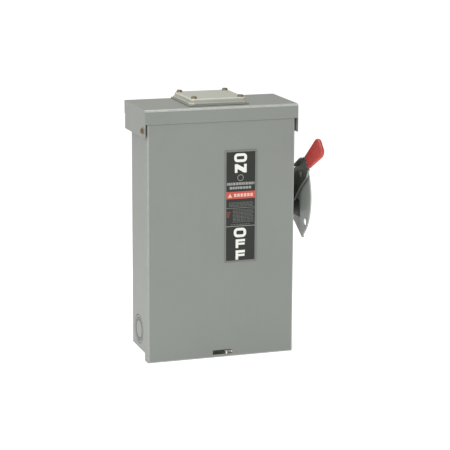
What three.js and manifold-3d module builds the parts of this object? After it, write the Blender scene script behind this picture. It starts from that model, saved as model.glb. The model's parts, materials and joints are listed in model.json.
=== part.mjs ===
// Side-operated raintight disconnect switch: a steel box with a top-hinged cover,
// a rain hood, a handle on the right side wall and a two-pole fused knife switch inside.
// Millimetres. X is to the right, +Z is up, and the wall that the box hangs on is the plane y = 0.
// "Depth" is the distance in front of that wall, so depth d lies at y = -d.
import * as THREE from "three";
import { mergeVertices } from "three/addons/utils/BufferGeometryUtils.js";
import Module from "manifold-3d";

const wasm = await Module();
wasm.setup();

// ---- Driving dimensions ----

// Overall
const COVER_WIDTH = 222;
const OVERALL_HEIGHT = 370; // hood top to cover bottom
const COVER_DEPTH = 104; // wall to the outside of the cover
const SHEET = 1.5; // steel sheet of box, hood and cover
const FIT_GAP = 0.3; // between pieces that touch or slide
const SEAT_GAP = 0.2; // under the heads of screws, rivets and pins
const LAP = 1; // cutters run past a face, and joined shapes sink into each other, this far

// Box
const WALL_GAP = 12; // back sheet to wall, made up by the drawn pads
const COVER_SIDE_GAP = 0.7; // box side to the inside of the cover flange
const BOX_FRONT_GAP = 2.5; // front edge of the box to the inside of the cover
const COVER_DROP = 9.7; // cover hangs this far below the box
const BOX_BEND_RADIUS = 4.5;
const BOX_LIP = 9; // front lip turned inwards on the sides and the bottom
const PAD_BASE_RADIUS = 19;
const PAD_FACE_RADIUS = 13;
const PAD_HOLE_RADIUS = 4;
const UPPER_PAD_DROP = 38; // upper mounting pad below the hood top
const LOWER_PAD_RISE = 42; // lower mounting pads above the cover bottom
const LOWER_PAD_SPACING = 130;
const SIDE_KNOCKOUT_RADIUS = 22;
const SIDE_KNOCKOUT_STEPS = [17.3, 14.1]; // radii of the inner rings
const SIDE_KNOCKOUT_DEPTH = 49.5;
const SIDE_KNOCKOUT_RISE = 28.3; // centre above the box bottom
const BOTTOM_KNOCKOUT_RADIUS = 17.3;
const BOTTOM_KNOCKOUT_DEPTH = 56;
const BOTTOM_KNOCKOUT_SPACING = 84;
const RING_GROOVE = 0.7; // width and depth of a knockout's scored ring

// Hood
const HOOD_SIDE_GAP = 2.6; // cover flange to the inside of the hood skirt
const HOOD_FRONT_GAP = 0.9;
const HOOD_LIP = 21; // height of the front lip
const HOOD_SKIRT = 41; // height of the side skirts
const HOOD_REAR_LAP = 19; // height of the wider rear part of the cap
const HOOD_REAR_STEP = 2.4;
const HOOD_BEND_RADIUS = 3;

// Hub closure on the hood
const HUB_SIZE = 90;
const HUB_DEPTH = 46.5; // centre of the hub opening
const HUB_HOLE_RADIUS = 29;
const HUB_SCREW_SPACING = 70;
const HUB_GASKET = 2;
const HUB_PLATE_HEIGHT = 7.6;
const HUB_PLATE_INSET = 1; // plate's base inside the gasket's edge
const HUB_PLATE_SLOPE = 3.5; // plate's top inside the gasket's edge
const HUB_SCREW_RADIUS = 2.4;
const HUB_HEAD_RADIUS = 4.6;
const HUB_HEAD_GAP = 0.1;
const HUB_HEAD_HEIGHT = 2.8;

// Cover and its hinge
const COVER_FLANGE = 17; // depth of the side and bottom flanges
const COVER_TOP_DROP = 16; // cover's top edge below the hood top
const HINGE_DROP = 31; // hinge axis below the hood top
const HINGE_SETBACK = 10; // hinge axis behind the cover face
const HINGE_SCREW_RADIUS = 3;
const HINGE_HEAD_RADIUS = 5;
const HINGE_HEAD_HEIGHT = 2.6;
const HINGE_NUT = [2.2, 5]; // near and far face inside the cover's side
const HINGE_CLEARANCE = 2; // around the cover's swinging top corner
const HINGE_RELIEF = 6; // box side cut away below the hinge axis
const LATCH_SLOT_WIDTH = 30;
const LATCH_SLOT_HEIGHT = 6.4;
const LATCH_SLOT_RISE = 8; // slot centre above the cover bottom
const LATCH_SLOT_SHIFT = 2.4; // slot centre right of the middle
const STAPLE_THICKNESS = 2.4;
const STAPLE_REACH = 4.5; // beyond the cover face
const STAPLE_SHIFT = 6.8;
const STAPLE_FOOT_HALF = 10;
const STAPLE_FOOT_LAP = 5; // below the top of the box's front lip
const STAPLE_RISE = 9; // above the top of the box's front lip
const STAPLE_NECK = 1.6; // thickness of the part that hangs between lip and cover
const STAPLE_NOSE = [2.2, 2.4]; // nose below and above the slot's centre
const CATCH_THICKNESS = 1.5;
const CATCH_SETBACK = 1; // foot in front of the flange's rear edge
const CATCH_CLEARANCE = 1; // beside the staple and inside the slot's end
const CATCH_RISE = 0.6; // above the slot's centre
const LABEL_LEFT = 4;
const LABEL_WIDTH = 49.5;
const LABEL_BOTTOM = -43.5;
const LABEL_HEIGHT = 165;
const LABEL_THICKNESS = 0.5;
const LABEL_GAP = 0.1;

// Handle outside the right wall
const HANDLE_DEPTH = 42; // handle axis
const HANDLE_Z = 40;
const HANDLE_ON_ANGLE = 45; // lever leans this far forward of upright when on
const SHAFT_RADIUS = 6;
const SHAFT_END = 2; // beyond the guard
const SHAFT_SHOULDER = 0.5; // round part's end in front of the crank
const LEVER_STANDOFF = 22.5; // box side to the lever's inner face
const LEVER_THICKNESS = 3;
const LEVER_HUB_RADIUS = 11;
const LEVER_WAIST = [11, 31]; // lower edge near the hub: half width, distance from the axis
const LEVER_BELLY = [16, 64]; // lower edge beside the padlock hole
const LEVER_SHOULDER = [23, 40]; // upper edge
const LEVER_FLANGE = 5; // turned towards the box along the upper edge
const LEVER_FLANGE_END = [13.5, 74];
const LEVER_FLANGE_THICKNESS = 1.6;
const LEVER_BEND_RADIUS = 78; // where the tongue bends outwards, from the axis
const LEVER_NECK_HALF = 12;
const LEVER_TONGUE_HALF = 8.5;
const LEVER_TONGUE_LENGTH = 34;
const GRIP_BEND_ANGLE = 13;
const GRIP_START = 1.5; // grip's lower edge beyond the bend
const GRIP_LENGTH = 46;
const GRIP_BASE_HALF = 11;
const GRIP_TIP_HALF = 15.8;
const GRIP_THICKNESS = 5.6;
const GRIP_CORNER_RADIUS = 9;
const PADLOCK_HOLE_RADIUS = 5.5;
const PADLOCK_HOLE_ARM = 51.6; // hole centre from the handle axis

// Guard beside the handle
const GUARD_STANDOFF = 29; // box side to the guard's inner face
const GUARD_SHEET = 2;
const GUARD_ARC_RADIUS = 70;
const GUARD_ARC_SETBACK = 11; // arc centre behind the handle axis
const GUARD_TOP_ANGLE = 33.5; // of the arc's upper end above level
const GUARD_CROWN_RISE = 44; // top edge above the handle axis
const GUARD_CROWN_DEPTHS = [50, 84]; // rear and front end of the top edge
const GUARD_BOTTOM_ANGLE = -54;
const GUARD_TIP_FORWARD = 28.5; // tip in front of the handle axis
const GUARD_TIP_DROP = 62; // tip below the handle axis
const GUARD_TIP_HALF = 2;
const GUARD_HEEL_DROP = 34; // lower rear corner below the handle axis
const GUARD_REAR = 24; // rear web behind the handle axis
const GUARD_REAR_RISE = 32; // upper rear corner above the handle axis
const GUARD_FOOT_LENGTH = 15;
const GUARD_FOOT_HEIGHT = 15;
const GUARD_RIVET_RADIUS = 2.4;
const GUARD_RIVET_HEAD = 4;
const RIVET_HEAD_HEIGHT = 2;

// Bushing of the handle shaft
const BUSHING_WALL = 2.7;
const BUSHING_FLANGE_RADIUS = 14;
const BUSHING_FLANGE = 3;
const BUSHING_INSIDE = 4; // how far it reaches inside the box

// Drive inside the box
const CRANK_RADIUS = 24; // handle axis to crank pin, and rotor axis to crossbar pin
const CRANK_INSET = 17.5; // box side to the crank's outer face
const CRANK_THICKNESS = 3;
const CRANK_HUB_RADIUS = 11;
const LINK_THICKNESS = 3;
const LINK_HALF_WIDTH = 6;
const PIN_RADIUS = 3;
const PIN_END = 1.5; // crank pin beyond the link
const SHAFT_SQUARE_HALF = 4.2;
const SPRING_WIRE_RADIUS = 0.9;
const SPRING_COIL_RADIUS = 9;
const SPRING_TURNS = 3;
const SPRING_END_GAP = 1.6;

// Knife switch
const ROTOR_DEPTH = 34; // blade pivot axis
const ROTOR_Z = 10;
const POLE_SPACING = 60;
const POLE_CENTRE = -2; // middle between the two poles
const BLADE_THICKNESS = 3;
const BLADE_HALF_WIDTH = 7;
const BLADE_CHAMFER = 3; // front corner of the tip
const BLADE_REAR_CUT = [5, 7]; // rear corner of the tip: depth and height
const BLADE_PIN_HEAD = 1.6; // thickness of a pin's head
const BLADE_PIN_RIM = 1.6; // head's radius less the pin's
const EAR_HALF = 7; // terminal ears around the blade pivot
const BLADE_TIP_CLEARANCE = 6.5; // open blade to the inside of the cover
const CROSSBAR_HALF_HEIGHT = 6.5;
const CROSSBAR_BACK = 7.5; // behind the pin line
const CROSSBAR_FRONT = 12; // in front of the pin line
const CROSSBAR_OVERHANG = 14; // beyond the left blade
const CROSSBAR_END_GAP = 0.5; // beside the link, with the fit gap
const STRIP_THICKNESS = 2;
const STRIP_HALF_WIDTH = 9;
const JAW_SHEET = 1.3;
const JAW_HEIGHT = 16;
const JAW_DEPTH = 18;
const JAW_LEAD = 2; // jaw's upper edge above the blade tips, and strip's end below the jaw
const BASE_THICKNESS = 10;
const BASE_HALF_WIDTH = 64;
const BARRIER_THICKNESS = 3;
const BARRIER_DEPTH = 26;
const BARRIER_CLEARANCE = 6; // upper barriers above the crossbar
const BARRIER_STOP = 4; // lower barriers' top below the fuse tops
const BASE_MARGIN = 6; // base beyond the lugs

// Fuses and terminals
const FUSE_CAP_RADIUS = 10.3;
const FUSE_TUBE_RADIUS = 9.6;
const FUSE_LENGTH = 76;
const FUSE_CAP_LENGTH = 17;
const FUSE_TOP_Z = -5;
const FUSE_TUBE_INSET = 1.8; // tube's end inside the cap's outer face
const FUSE_CAP_END = 1.5; // thickness of a cap's end
const CLIP_SHEET = 1.2;
const CLIP_LENGTH = 12;
const CLIP_OPENING = 100; // degrees left open at the front
const LUG_WIDTH = 20;
const LUG_DEPTH = 22;
const LUG_HEIGHT = 26;
const LUG_BORE_RADIUS = 5.5;
const LUG_BORE_WALL = 3; // behind the wire bore
const LUG_SCREW_RADIUS = 5;
const LUG_SCREW_TIP = 0.5; // screw's tip inside the wire bore
const LUG_SCREW_SUNK = 0.5; // screw's outer end behind the lug's face
const SOCKET_RADIUS = 2.6;
const SOCKET_DEPTH = 4;
const LINE_LUG_GAP = 6; // above the blade tips
const LOAD_LUG_GAP = 8; // below the fuses
const SHIELD_SHEET = 1.5;
const SHIELD_DEPTH = 62;
const SHIELD_SIDE_GAP = 1;
const SHIELD_DROP = 2; // below the line lugs

// Neutral and ground
const NEUTRAL_INSET = 20; // bar centre from the box side
const NEUTRAL_RISE = 52; // bottom of the neutral bar above the box bottom
const NEUTRAL_LENGTH = 92;
const NEUTRAL_WIDTH = 16;
const NEUTRAL_DEPTH = 20;
const NEUTRAL_MARGIN = 4; // insulator beyond the bar's ends
const NEUTRAL_BORE_WALL = 2;
const NEUTRAL_SCREW_INSET = 12;
const GROUND_INSET = 34;
const GROUND_RISE = 46;

// ---- Places worked out from the sizes ----
const TOP = OVERALL_HEIGHT / 2;
const BOTTOM = -OVERALL_HEIGHT / 2;
const COVER_HALF = COVER_WIDTH / 2;
const BOX_HALF = COVER_HALF - SHEET - COVER_SIDE_GAP;
const BOX_TOP = TOP - SHEET - FIT_GAP;
const BOX_BOTTOM = BOTTOM + COVER_DROP;
const BOX_FRONT = COVER_DEPTH - SHEET - BOX_FRONT_GAP;
const BOX_INNER_BACK = WALL_GAP + SHEET;
const HOOD_HALF = COVER_HALF + HOOD_SIDE_GAP + SHEET;
const HOOD_FRONT = COVER_DEPTH + HOOD_FRONT_GAP + SHEET;
const HINGE_Z = TOP - HINGE_DROP;
const HINGE_DEPTH = COVER_DEPTH - HINGE_SETBACK;
const COVER_TOP = TOP - COVER_TOP_DROP;
const HINGE_SWEEP = Math.hypot(HINGE_SETBACK, COVER_TOP - HINGE_Z) + HINGE_CLEARANCE;
const SLOT_Z = BOTTOM + LATCH_SLOT_RISE;
const LEVER_X = BOX_HALF + LEVER_STANDOFF;
const GUARD_X = BOX_HALF + GUARD_STANDOFF;
const CRANK_X = BOX_HALF - CRANK_INSET;
const LINK_X = CRANK_X - CRANK_THICKNESS - FIT_GAP - LINK_THICKNESS;
const BASE_BACK = BOX_INNER_BACK + FIT_GAP;
const BASE_FRONT = BASE_BACK + BASE_THICKNESS;
const STRIP_BACK = BASE_FRONT + FIT_GAP;
const STRIP_FRONT = STRIP_BACK + STRIP_THICKNESS;
const BLADE_REACH = COVER_DEPTH - SHEET - BLADE_TIP_CLEARANCE - ROTOR_DEPTH;
const BLADE_TIP_Z = ROTOR_Z + BLADE_REACH;
const JAW_Z = BLADE_TIP_Z - JAW_HEIGHT + JAW_LEAD;
const LINE_LUG_Z = BLADE_TIP_Z + LINE_LUG_GAP;
const BASE_TOP = LINE_LUG_Z + LUG_HEIGHT + BASE_MARGIN;
const FUSE_DEPTH = STRIP_FRONT + CLIP_SHEET + FUSE_CAP_RADIUS;
const FUSE_BOTTOM_Z = FUSE_TOP_Z - FUSE_LENGTH;
const LOAD_LUG_Z = FUSE_BOTTOM_Z - LOAD_LUG_GAP - LUG_HEIGHT;
const BASE_BOTTOM = LOAD_LUG_Z - BASE_MARGIN;
const POLES = [POLE_CENTRE - POLE_SPACING / 2, POLE_CENTRE + POLE_SPACING / 2];

// ---- Finishes ----
const finish = (color, roughness, metalness) => () =>
  new THREE.MeshStandardMaterial({ color, roughness, metalness });
const greyEnamel = finish(0x93989a, 0.45, 0.1);
const redVinyl = finish(0xa54441, 0.4, 0);
const brightZinc = finish(0xc4c6c8, 0.35, 0.9);
const yellowZinc = finish(0xb59a5c, 0.4, 0.8);
const blackLabel = finish(0x2e302c, 0.5, 0);
const blackMoulding = finish(0x26272a, 0.55, 0);
const copper = finish(0xb87352, 0.35, 0.9);
const tinnedCopper = finish(0xb9b4a8, 0.35, 0.9);
const aluminium = finish(0xb4b7ba, 0.4, 0.9);
const greyFibre = finish(0x8d8878, 0.8, 0);
const clearShield = finish(0xd5dad8, 0.2, 0);
const rubber = finish(0x303234, 0.8, 0);
const springSteel = finish(0x8b8d90, 0.3, 0.9);

// ---- Shapes ----

// A closed three.js geometry as a solid.
function solidOf(geometry) {
  geometry.deleteAttribute("normal");
  geometry.deleteAttribute("uv");
  const merged = mergeVertices(geometry, 1e-4);
  return new wasm.Manifold(
    new wasm.Mesh({
      numProp: 3,
      vertProperties: merged.attributes.position.array,
      triVerts: new Uint32Array(merged.index.array),
    }),
  );
}

// A named mesh of a solid.
function piece(name, solid, finishOf) {
  const made = solid.getMesh();
  const geometry = new THREE.BufferGeometry()
    .setAttribute("position", new THREE.BufferAttribute(made.vertProperties, 3))
    .setIndex(new THREE.BufferAttribute(made.triVerts, 1));
  geometry.computeVertexNormals();
  const mesh = new THREE.Mesh(geometry, finishOf());
  mesh.name = name;
  return mesh;
}

// A block between two values each of x, depth and z.
function block([x0, x1], [d0, d1], [z0, z1]) {
  const geometry = new THREE.BoxGeometry(x1 - x0, d1 - d0, z1 - z0);
  return solidOf(geometry.translate((x0 + x1) / 2, -(d0 + d1) / 2, (z0 + z1) / 2));
}

// The frames in which an outline is drawn before it is extruded.
// across: outline in (y, z), extruded along x.  up: outline in (x, y), along z.
// forward: outline in (x, z), extruded along depth.
const FRAMES = {
  across: [new THREE.Vector3(0, 1, 0), new THREE.Vector3(0, 0, 1), new THREE.Vector3(1, 0, 0)],
  up: [new THREE.Vector3(1, 0, 0), new THREE.Vector3(0, 1, 0), new THREE.Vector3(0, 0, 1)],
  forward: [new THREE.Vector3(1, 0, 0), new THREE.Vector3(0, 0, 1), new THREE.Vector3(0, -1, 0)],
};

// An outline extruded along one of the frames from one place to another.
function extrude(shape, frame, [from, to], curveSegments = 12) {
  const options = { depth: to - from, bevelEnabled: false, curveSegments };
  const geometry = new THREE.ExtrudeGeometry(shape, options).translate(0, 0, from);
  return solidOf(geometry.applyMatrix4(new THREE.Matrix4().makeBasis(...FRAMES[frame])));
}

function outline(points) {
  return new THREE.Shape(points.map(([u, v]) => new THREE.Vector2(u, v)));
}

// A round rod along a frame's own direction. The centre is (depth, z), (x, depth) or (x, z).
function rod(frame, [a, b], radius, [from, to], sides = 20) {
  const centre = { across: [-a, b], up: [a, -b], forward: [a, b] }[frame];
  const ring = [...Array(sides).keys()].map((i) => {
    const turn = (2 * Math.PI * (i + 0.5)) / sides;
    return [centre[0] + radius * Math.cos(turn), centre[1] + radius * Math.sin(turn)];
  });
  return extrude(outline(ring), frame, [from, to]);
}

// A sleeve: a rod with a coaxial hole.
function sleeve(frame, centre, outer, inner, [from, to], sides = 20) {
  return rod(frame, centre, outer, [from, to], sides).subtract(
    rod(frame, centre, inner, [from - LAP, to + LAP], sides),
  );
}

const joined = (first, ...rest) => rest.reduce((sum, next) => sum.add(next), first);
const cut = (first, ...rest) => rest.reduce((left, next) => left.subtract(next), first);

// A box with rounded vertical rear edges and a rounded rear edge at its bottom and top.
// The plan runs past the side outline and the other way round, so no two faces coincide.
function roundedBox(half, [d0, d1], [z0, z1], radius) {
  const plan = new THREE.Shape();
  plan.moveTo(-half, -d1 - LAP);
  plan.lineTo(half, -d1 - LAP);
  plan.absarc(half - radius, -d0 - radius, radius, 0, Math.PI / 2, false);
  plan.absarc(-half + radius, -d0 - radius, radius, Math.PI / 2, Math.PI, false);
  const side = new THREE.Shape();
  side.moveTo(-d1, z0);
  side.lineTo(-d0 - radius, z0);
  side.absarc(-d0 - radius, z0 + radius, radius, -Math.PI / 2, 0, false);
  side.absarc(-d0 - radius, z1 - radius, radius, 0, Math.PI / 2, false);
  side.lineTo(-d1, z1);
  const tower = extrude(plan, "up", [z0 - LAP, z1 + LAP], 4);
  return tower.intersect(extrude(side, "across", [-half - LAP, half + LAP], 4));
}

// A cone frustum that stands out of the back sheet towards the wall.
function frustum([x, z], baseRadius, faceRadius, [d0, d1]) {
  const geometry = new THREE.CylinderGeometry(faceRadius, baseRadius, d1 - d0, 16);
  return solidOf(geometry.translate(x, -(d0 + d1) / 2, z));
}

// ---- Box ----

const MOUNTING_HOLES = [
  [0, TOP - UPPER_PAD_DROP],
  [-LOWER_PAD_SPACING / 2, BOTTOM + LOWER_PAD_RISE],
  [LOWER_PAD_SPACING / 2, BOTTOM + LOWER_PAD_RISE],
];
const BOTTOM_KNOCKOUTS = [-BOTTOM_KNOCKOUT_SPACING / 2, BOTTOM_KNOCKOUT_SPACING / 2];
const SIDE_KNOCKOUT = [SIDE_KNOCKOUT_DEPTH, BOX_BOTTOM + SIDE_KNOCKOUT_RISE];
const GUARD_FEET = [HANDLE_Z - GUARD_REAR_RISE, HANDLE_Z + GUARD_REAR_RISE - GUARD_FOOT_HEIGHT];
const GUARD_REAR_DEPTH = HANDLE_DEPTH - GUARD_REAR;
const GUARD_RIVETS = GUARD_FEET.map((z) => [
  GUARD_REAR_DEPTH + GUARD_SHEET + GUARD_FOOT_LENGTH / 2,
  z + GUARD_FOOT_HEIGHT / 2,
]);
const BUSHING_RADIUS = SHAFT_RADIUS + FIT_GAP + BUSHING_WALL;

function drawnPads(inset) {
  return [[0, 0], ...MOUNTING_HOLES].map((centre) =>
    frustum(
      centre,
      PAD_BASE_RADIUS - inset,
      PAD_FACE_RADIUS - inset,
      [inset, WALL_GAP + inset + (inset ? 1 : SHEET / 2)],
    ),
  );
}

function enclosureBody() {
  const zRange = [BOX_BOTTOM, BOX_TOP];
  const shell = joined(
    roundedBox(BOX_HALF, [WALL_GAP, BOX_FRONT], zRange, BOX_BEND_RADIUS),
    ...drawnPads(0),
  );
  const inside = joined(
    roundedBox(
      BOX_HALF - SHEET,
      [BOX_INNER_BACK, BOX_FRONT - SHEET],
      [BOX_BOTTOM + SHEET, BOX_TOP - SHEET],
      BOX_BEND_RADIUS - SHEET,
    ),
    ...drawnPads(SHEET),
  );
  const mouth = block(
    [-BOX_HALF + BOX_LIP, BOX_HALF - BOX_LIP],
    [BOX_FRONT - SHEET - LAP, BOX_FRONT + LAP],
    [BOX_BOTTOM + BOX_LIP, BOX_TOP + LAP],
  );
  const hingeRelief = block(
    [-BOX_HALF - LAP, BOX_HALF + LAP],
    [HINGE_DEPTH - HINGE_SWEEP, BOX_FRONT + LAP],
    [HINGE_Z - HINGE_RELIEF, BOX_TOP - SHEET],
  );
  const holes = [
    ...MOUNTING_HOLES.map((centre) => rod("forward", centre, PAD_HOLE_RADIUS, [-LAP, SHEET + 2 * LAP], 12)),
    rod("up", [0, HUB_DEPTH], HUB_HOLE_RADIUS, [BOX_TOP - SHEET - LAP, BOX_TOP + LAP], 28),
    rod("across", SIDE_KNOCKOUT, SIDE_KNOCKOUT_RADIUS, [-BOX_HALF - LAP, -BOX_HALF + SHEET + LAP], 28),
    ...BOTTOM_KNOCKOUTS.map((x) =>
      rod(
        "up",
        [x, BOTTOM_KNOCKOUT_DEPTH],
        BOTTOM_KNOCKOUT_RADIUS,
        [BOX_BOTTOM - LAP, BOX_BOTTOM + SHEET + LAP],
        24,
      ),
    ),
    rod(
      "across",
      [HANDLE_DEPTH, HANDLE_Z],
      BUSHING_RADIUS + FIT_GAP,
      [BOX_HALF - SHEET - LAP, BOX_HALF + LAP],
    ),
    ...GUARD_RIVETS.map((centre) =>
      rod("across", centre, GUARD_RIVET_RADIUS + FIT_GAP, [BOX_HALF - SHEET - LAP, BOX_HALF + LAP], 10),
    ),
  ];
  return piece("enclosure_body", cut(shell, inside, mouth, hingeRelief, ...holes), greyEnamel);
}

// A round slug still held in its hole, scored with the rings of smaller trade sizes.
function knockout(name, frame, centre, radius, steps, [outer, inner]) {
  const low = Math.min(outer, inner);
  const high = Math.max(outer, inner);
  const sign = Math.sign(inner - outer);
  const face = [outer - sign, outer + sign * RING_GROOVE].sort((a, b) => a - b);
  const slug = rod(frame, centre, radius - FIT_GAP, [low, high], 28);
  const grooves = steps.map((r) => sleeve(frame, centre, r, r - RING_GROOVE, face, 28));
  return piece(name, cut(slug, ...grooves), greyEnamel);
}

function knockouts() {
  return [
    knockout("side_knockout", "across", SIDE_KNOCKOUT, SIDE_KNOCKOUT_RADIUS, SIDE_KNOCKOUT_STEPS, [
      -BOX_HALF,
      -BOX_HALF + SHEET,
    ]),
    ...BOTTOM_KNOCKOUTS.map((x, i) =>
      knockout(
        "bottom_knockout_" + (i + 1),
        "up",
        [x, BOTTOM_KNOCKOUT_DEPTH],
        BOTTOM_KNOCKOUT_RADIUS,
        SIDE_KNOCKOUT_STEPS.slice(1),
        [BOX_BOTTOM, BOX_BOTTOM + SHEET],
      ),
    ),
  ];
}

function topHood() {
  const profile = (inset) => {
    const front = HOOD_FRONT - inset;
    const top = TOP - inset;
    const radius = HOOD_BEND_RADIUS - inset;
    const shape = new THREE.Shape();
    shape.moveTo(-front, TOP - HOOD_SKIRT);
    shape.lineTo(inset ? LAP : 0, TOP - HOOD_SKIRT);
    shape.lineTo(inset ? LAP : 0, top);
    shape.absarc(-front + radius, top - radius, radius, Math.PI / 2, Math.PI, false);
    return shape;
  };
  const shell = extrude(profile(0), "across", [-HOOD_HALF, HOOD_HALF], 4);
  const inside = extrude(profile(SHEET), "across", [-HOOD_HALF + SHEET, HOOD_HALF - SHEET], 4);
  const belowLip = block(
    [-HOOD_HALF + SHEET, HOOD_HALF - SHEET],
    [HOOD_FRONT - SHEET - LAP, HOOD_FRONT + LAP],
    [TOP - HOOD_SKIRT - LAP, TOP - HOOD_LIP],
  );
  const belowLap = block(
    [-HOOD_HALF - LAP, HOOD_HALF + LAP],
    [-LAP, HOOD_REAR_STEP],
    [TOP - HOOD_SKIRT - LAP, TOP - HOOD_REAR_LAP],
  );
  const hubHole = rod("up", [0, HUB_DEPTH], HUB_HOLE_RADIUS, [TOP - SHEET - LAP, TOP + LAP], 28);
  const hingeHole = rod(
    "across",
    [HINGE_DEPTH, HINGE_Z],
    HINGE_SCREW_RADIUS + FIT_GAP,
    [-HOOD_HALF - LAP, HOOD_HALF + LAP],
    16,
  );
  const screwHoles = HUB_SCREWS.map((centre) =>
    rod("up", centre, HUB_SCREW_RADIUS + FIT_GAP, [TOP - SHEET - LAP, TOP + LAP], 10),
  );
  const made = cut(shell, inside, belowLip, belowLap, hubHole, hingeHole, ...screwHoles);
  return piece("top_hood", made, greyEnamel);
}

// ---- Hub closure ----

const HUB_SCREWS = [-1, 1].flatMap((side) =>
  [-1, 1].map((end) => [
    (side * HUB_SCREW_SPACING) / 2,
    HUB_DEPTH + (end * HUB_SCREW_SPACING) / 2,
  ]),
);
const GASKET_TOP = TOP + FIT_GAP + HUB_GASKET;
const PLATE_BASE = GASKET_TOP + FIT_GAP;
const PLATE_TOP = PLATE_BASE + HUB_PLATE_HEIGHT;

function hubScrewHoles([z0, z1]) {
  return HUB_SCREWS.map((centre) => rod("up", centre, HUB_SCREW_RADIUS + FIT_GAP, [z0, z1], 10));
}

function hubClosure() {
  const half = HUB_SIZE / 2;
  const gasket = cut(
    block([-half, half], [HUB_DEPTH - half, HUB_DEPTH + half], [TOP + FIT_GAP, GASKET_TOP]),
    rod("up", [0, HUB_DEPTH], HUB_HOLE_RADIUS, [TOP - LAP, GASKET_TOP + LAP], 28),
    ...hubScrewHoles([TOP - LAP, GASKET_TOP + LAP]),
  );
  const side = Math.SQRT1_2;
  const plate = new THREE.CylinderGeometry(
    (half - HUB_PLATE_SLOPE) / side,
    (half - HUB_PLATE_INSET) / side,
    HUB_PLATE_HEIGHT,
    4,
  )
    .rotateY(Math.PI / 4)
    .rotateX(Math.PI / 2)
    .translate(0, -HUB_DEPTH, (PLATE_BASE + PLATE_TOP) / 2);
  const plateSolid = cut(solidOf(plate), ...hubScrewHoles([PLATE_BASE - LAP, PLATE_TOP + LAP]));
  const screws = HUB_SCREWS.map((centre, i) => {
    const head = rod(
      "up",
      centre,
      HUB_HEAD_RADIUS,
      [PLATE_TOP + HUB_HEAD_GAP, PLATE_TOP + HUB_HEAD_GAP + HUB_HEAD_HEIGHT],
      14,
    );
    const shank = rod("up", centre, HUB_SCREW_RADIUS, [BOX_TOP + SEAT_GAP, PLATE_TOP + LAP], 10);
    return piece("hub_screw_" + (i + 1), head.add(shank), brightZinc);
  });
  return [
    piece("hub_gasket", gasket, rubber),
    piece("hub_closure_plate", plateSolid, greyEnamel),
    ...screws,
  ];
}

// ---- Cover ----

function frontCover() {
  const back = COVER_DEPTH - COVER_FLANGE;
  const zRange = [BOTTOM, COVER_TOP];
  const shell = block([-COVER_HALF, COVER_HALF], [back, COVER_DEPTH], zRange);
  const inside = block(
    [-COVER_HALF + SHEET, COVER_HALF - SHEET],
    [back - LAP, COVER_DEPTH - SHEET],
    [BOTTOM + SHEET, COVER_TOP + LAP],
  );
  // The side flanges end as rounded ears around the hinge screws.
  const flangeTop = block(
    [-COVER_HALF - LAP, COVER_HALF + LAP],
    [back - LAP, COVER_DEPTH - SHEET],
    [HINGE_Z + COVER_DEPTH - SHEET - HINGE_DEPTH, COVER_TOP + LAP],
  );
  const slotHalf = LATCH_SLOT_WIDTH / 2;
  const slot = block(
    [LATCH_SLOT_SHIFT - slotHalf, LATCH_SLOT_SHIFT + slotHalf],
    [COVER_DEPTH - SHEET - LAP, COVER_DEPTH + LAP],
    [SLOT_Z - LATCH_SLOT_HEIGHT / 2, SLOT_Z + LATCH_SLOT_HEIGHT / 2],
  );
  const hingeHole = rod(
    "across",
    [HINGE_DEPTH, HINGE_Z],
    HINGE_SCREW_RADIUS + FIT_GAP,
    [-COVER_HALF - LAP, COVER_HALF + LAP],
    16,
  );
  return piece("front_cover", cut(shell, inside, flangeTop, slot, hingeHole), greyEnamel);
}

function hingeScrew(name, side) {
  const along = (from, to) => [side * from, side * to].sort((a, b) => a - b);
  const centre = [HINGE_DEPTH, HINGE_Z];
  const head = rod(
    "across",
    centre,
    HINGE_HEAD_RADIUS,
    along(HOOD_HALF + SEAT_GAP, HOOD_HALF + SEAT_GAP + HINGE_HEAD_HEIGHT),
    14,
  );
  const [nutNear, nutFar] = HINGE_NUT.map((inset) => COVER_HALF - inset);
  const shoulder = rod("across", centre, HINGE_SCREW_RADIUS, along(nutFar + LAP, HOOD_HALF + LAP), 16);
  const nut = rod("across", centre, HINGE_HEAD_RADIUS, along(nutFar, nutNear), 6);
  return piece(name, joined(head, shoulder, nut), yellowZinc);
}

function coverLabel() {
  const made = block(
    [LABEL_LEFT, LABEL_LEFT + LABEL_WIDTH],
    [COVER_DEPTH + LABEL_GAP, COVER_DEPTH + LABEL_GAP + LABEL_THICKNESS],
    [LABEL_BOTTOM, LABEL_BOTTOM + LABEL_HEIGHT],
  );
  return piece("cover_label", made, blackLabel);
}

// A steel ear fixed to the box's lower lip. It stands out through the slot in the cover.
function latchStaple() {
  const behindLip = [BOX_FRONT - SHEET - FIT_GAP - STAPLE_THICKNESS, BOX_FRONT - SHEET - FIT_GAP];
  const lipTop = BOX_BOTTOM + BOX_LIP;
  const top = lipTop + STAPLE_RISE;
  const neck = [BOX_FRONT + FIT_GAP, BOX_FRONT + FIT_GAP + STAPLE_NECK];
  const noseZ = [SLOT_Z - STAPLE_NOSE[0], SLOT_Z + STAPLE_NOSE[1]];
  const foot = block([STAPLE_SHIFT - STAPLE_FOOT_HALF, STAPLE_SHIFT + STAPLE_FOOT_HALF], behindLip, [
    lipTop - STAPLE_FOOT_LAP,
    top,
  ]);
  const half = STAPLE_THICKNESS / 2;
  const arm = block(
    [STAPLE_SHIFT - half, STAPLE_SHIFT + half],
    [behindLip[0], neck[1]],
    [lipTop + FIT_GAP, top],
  );
  const drop = block(
    [STAPLE_SHIFT - half, STAPLE_SHIFT + half],
    neck,
    [noseZ[0], top],
  );
  const nose = block(
    [STAPLE_SHIFT - half, STAPLE_SHIFT + half],
    [neck[0], COVER_DEPTH + STAPLE_REACH],
    noseZ,
  );
  return piece("latch_staple", joined(foot, arm, drop, nose), brightZinc);
}

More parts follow.
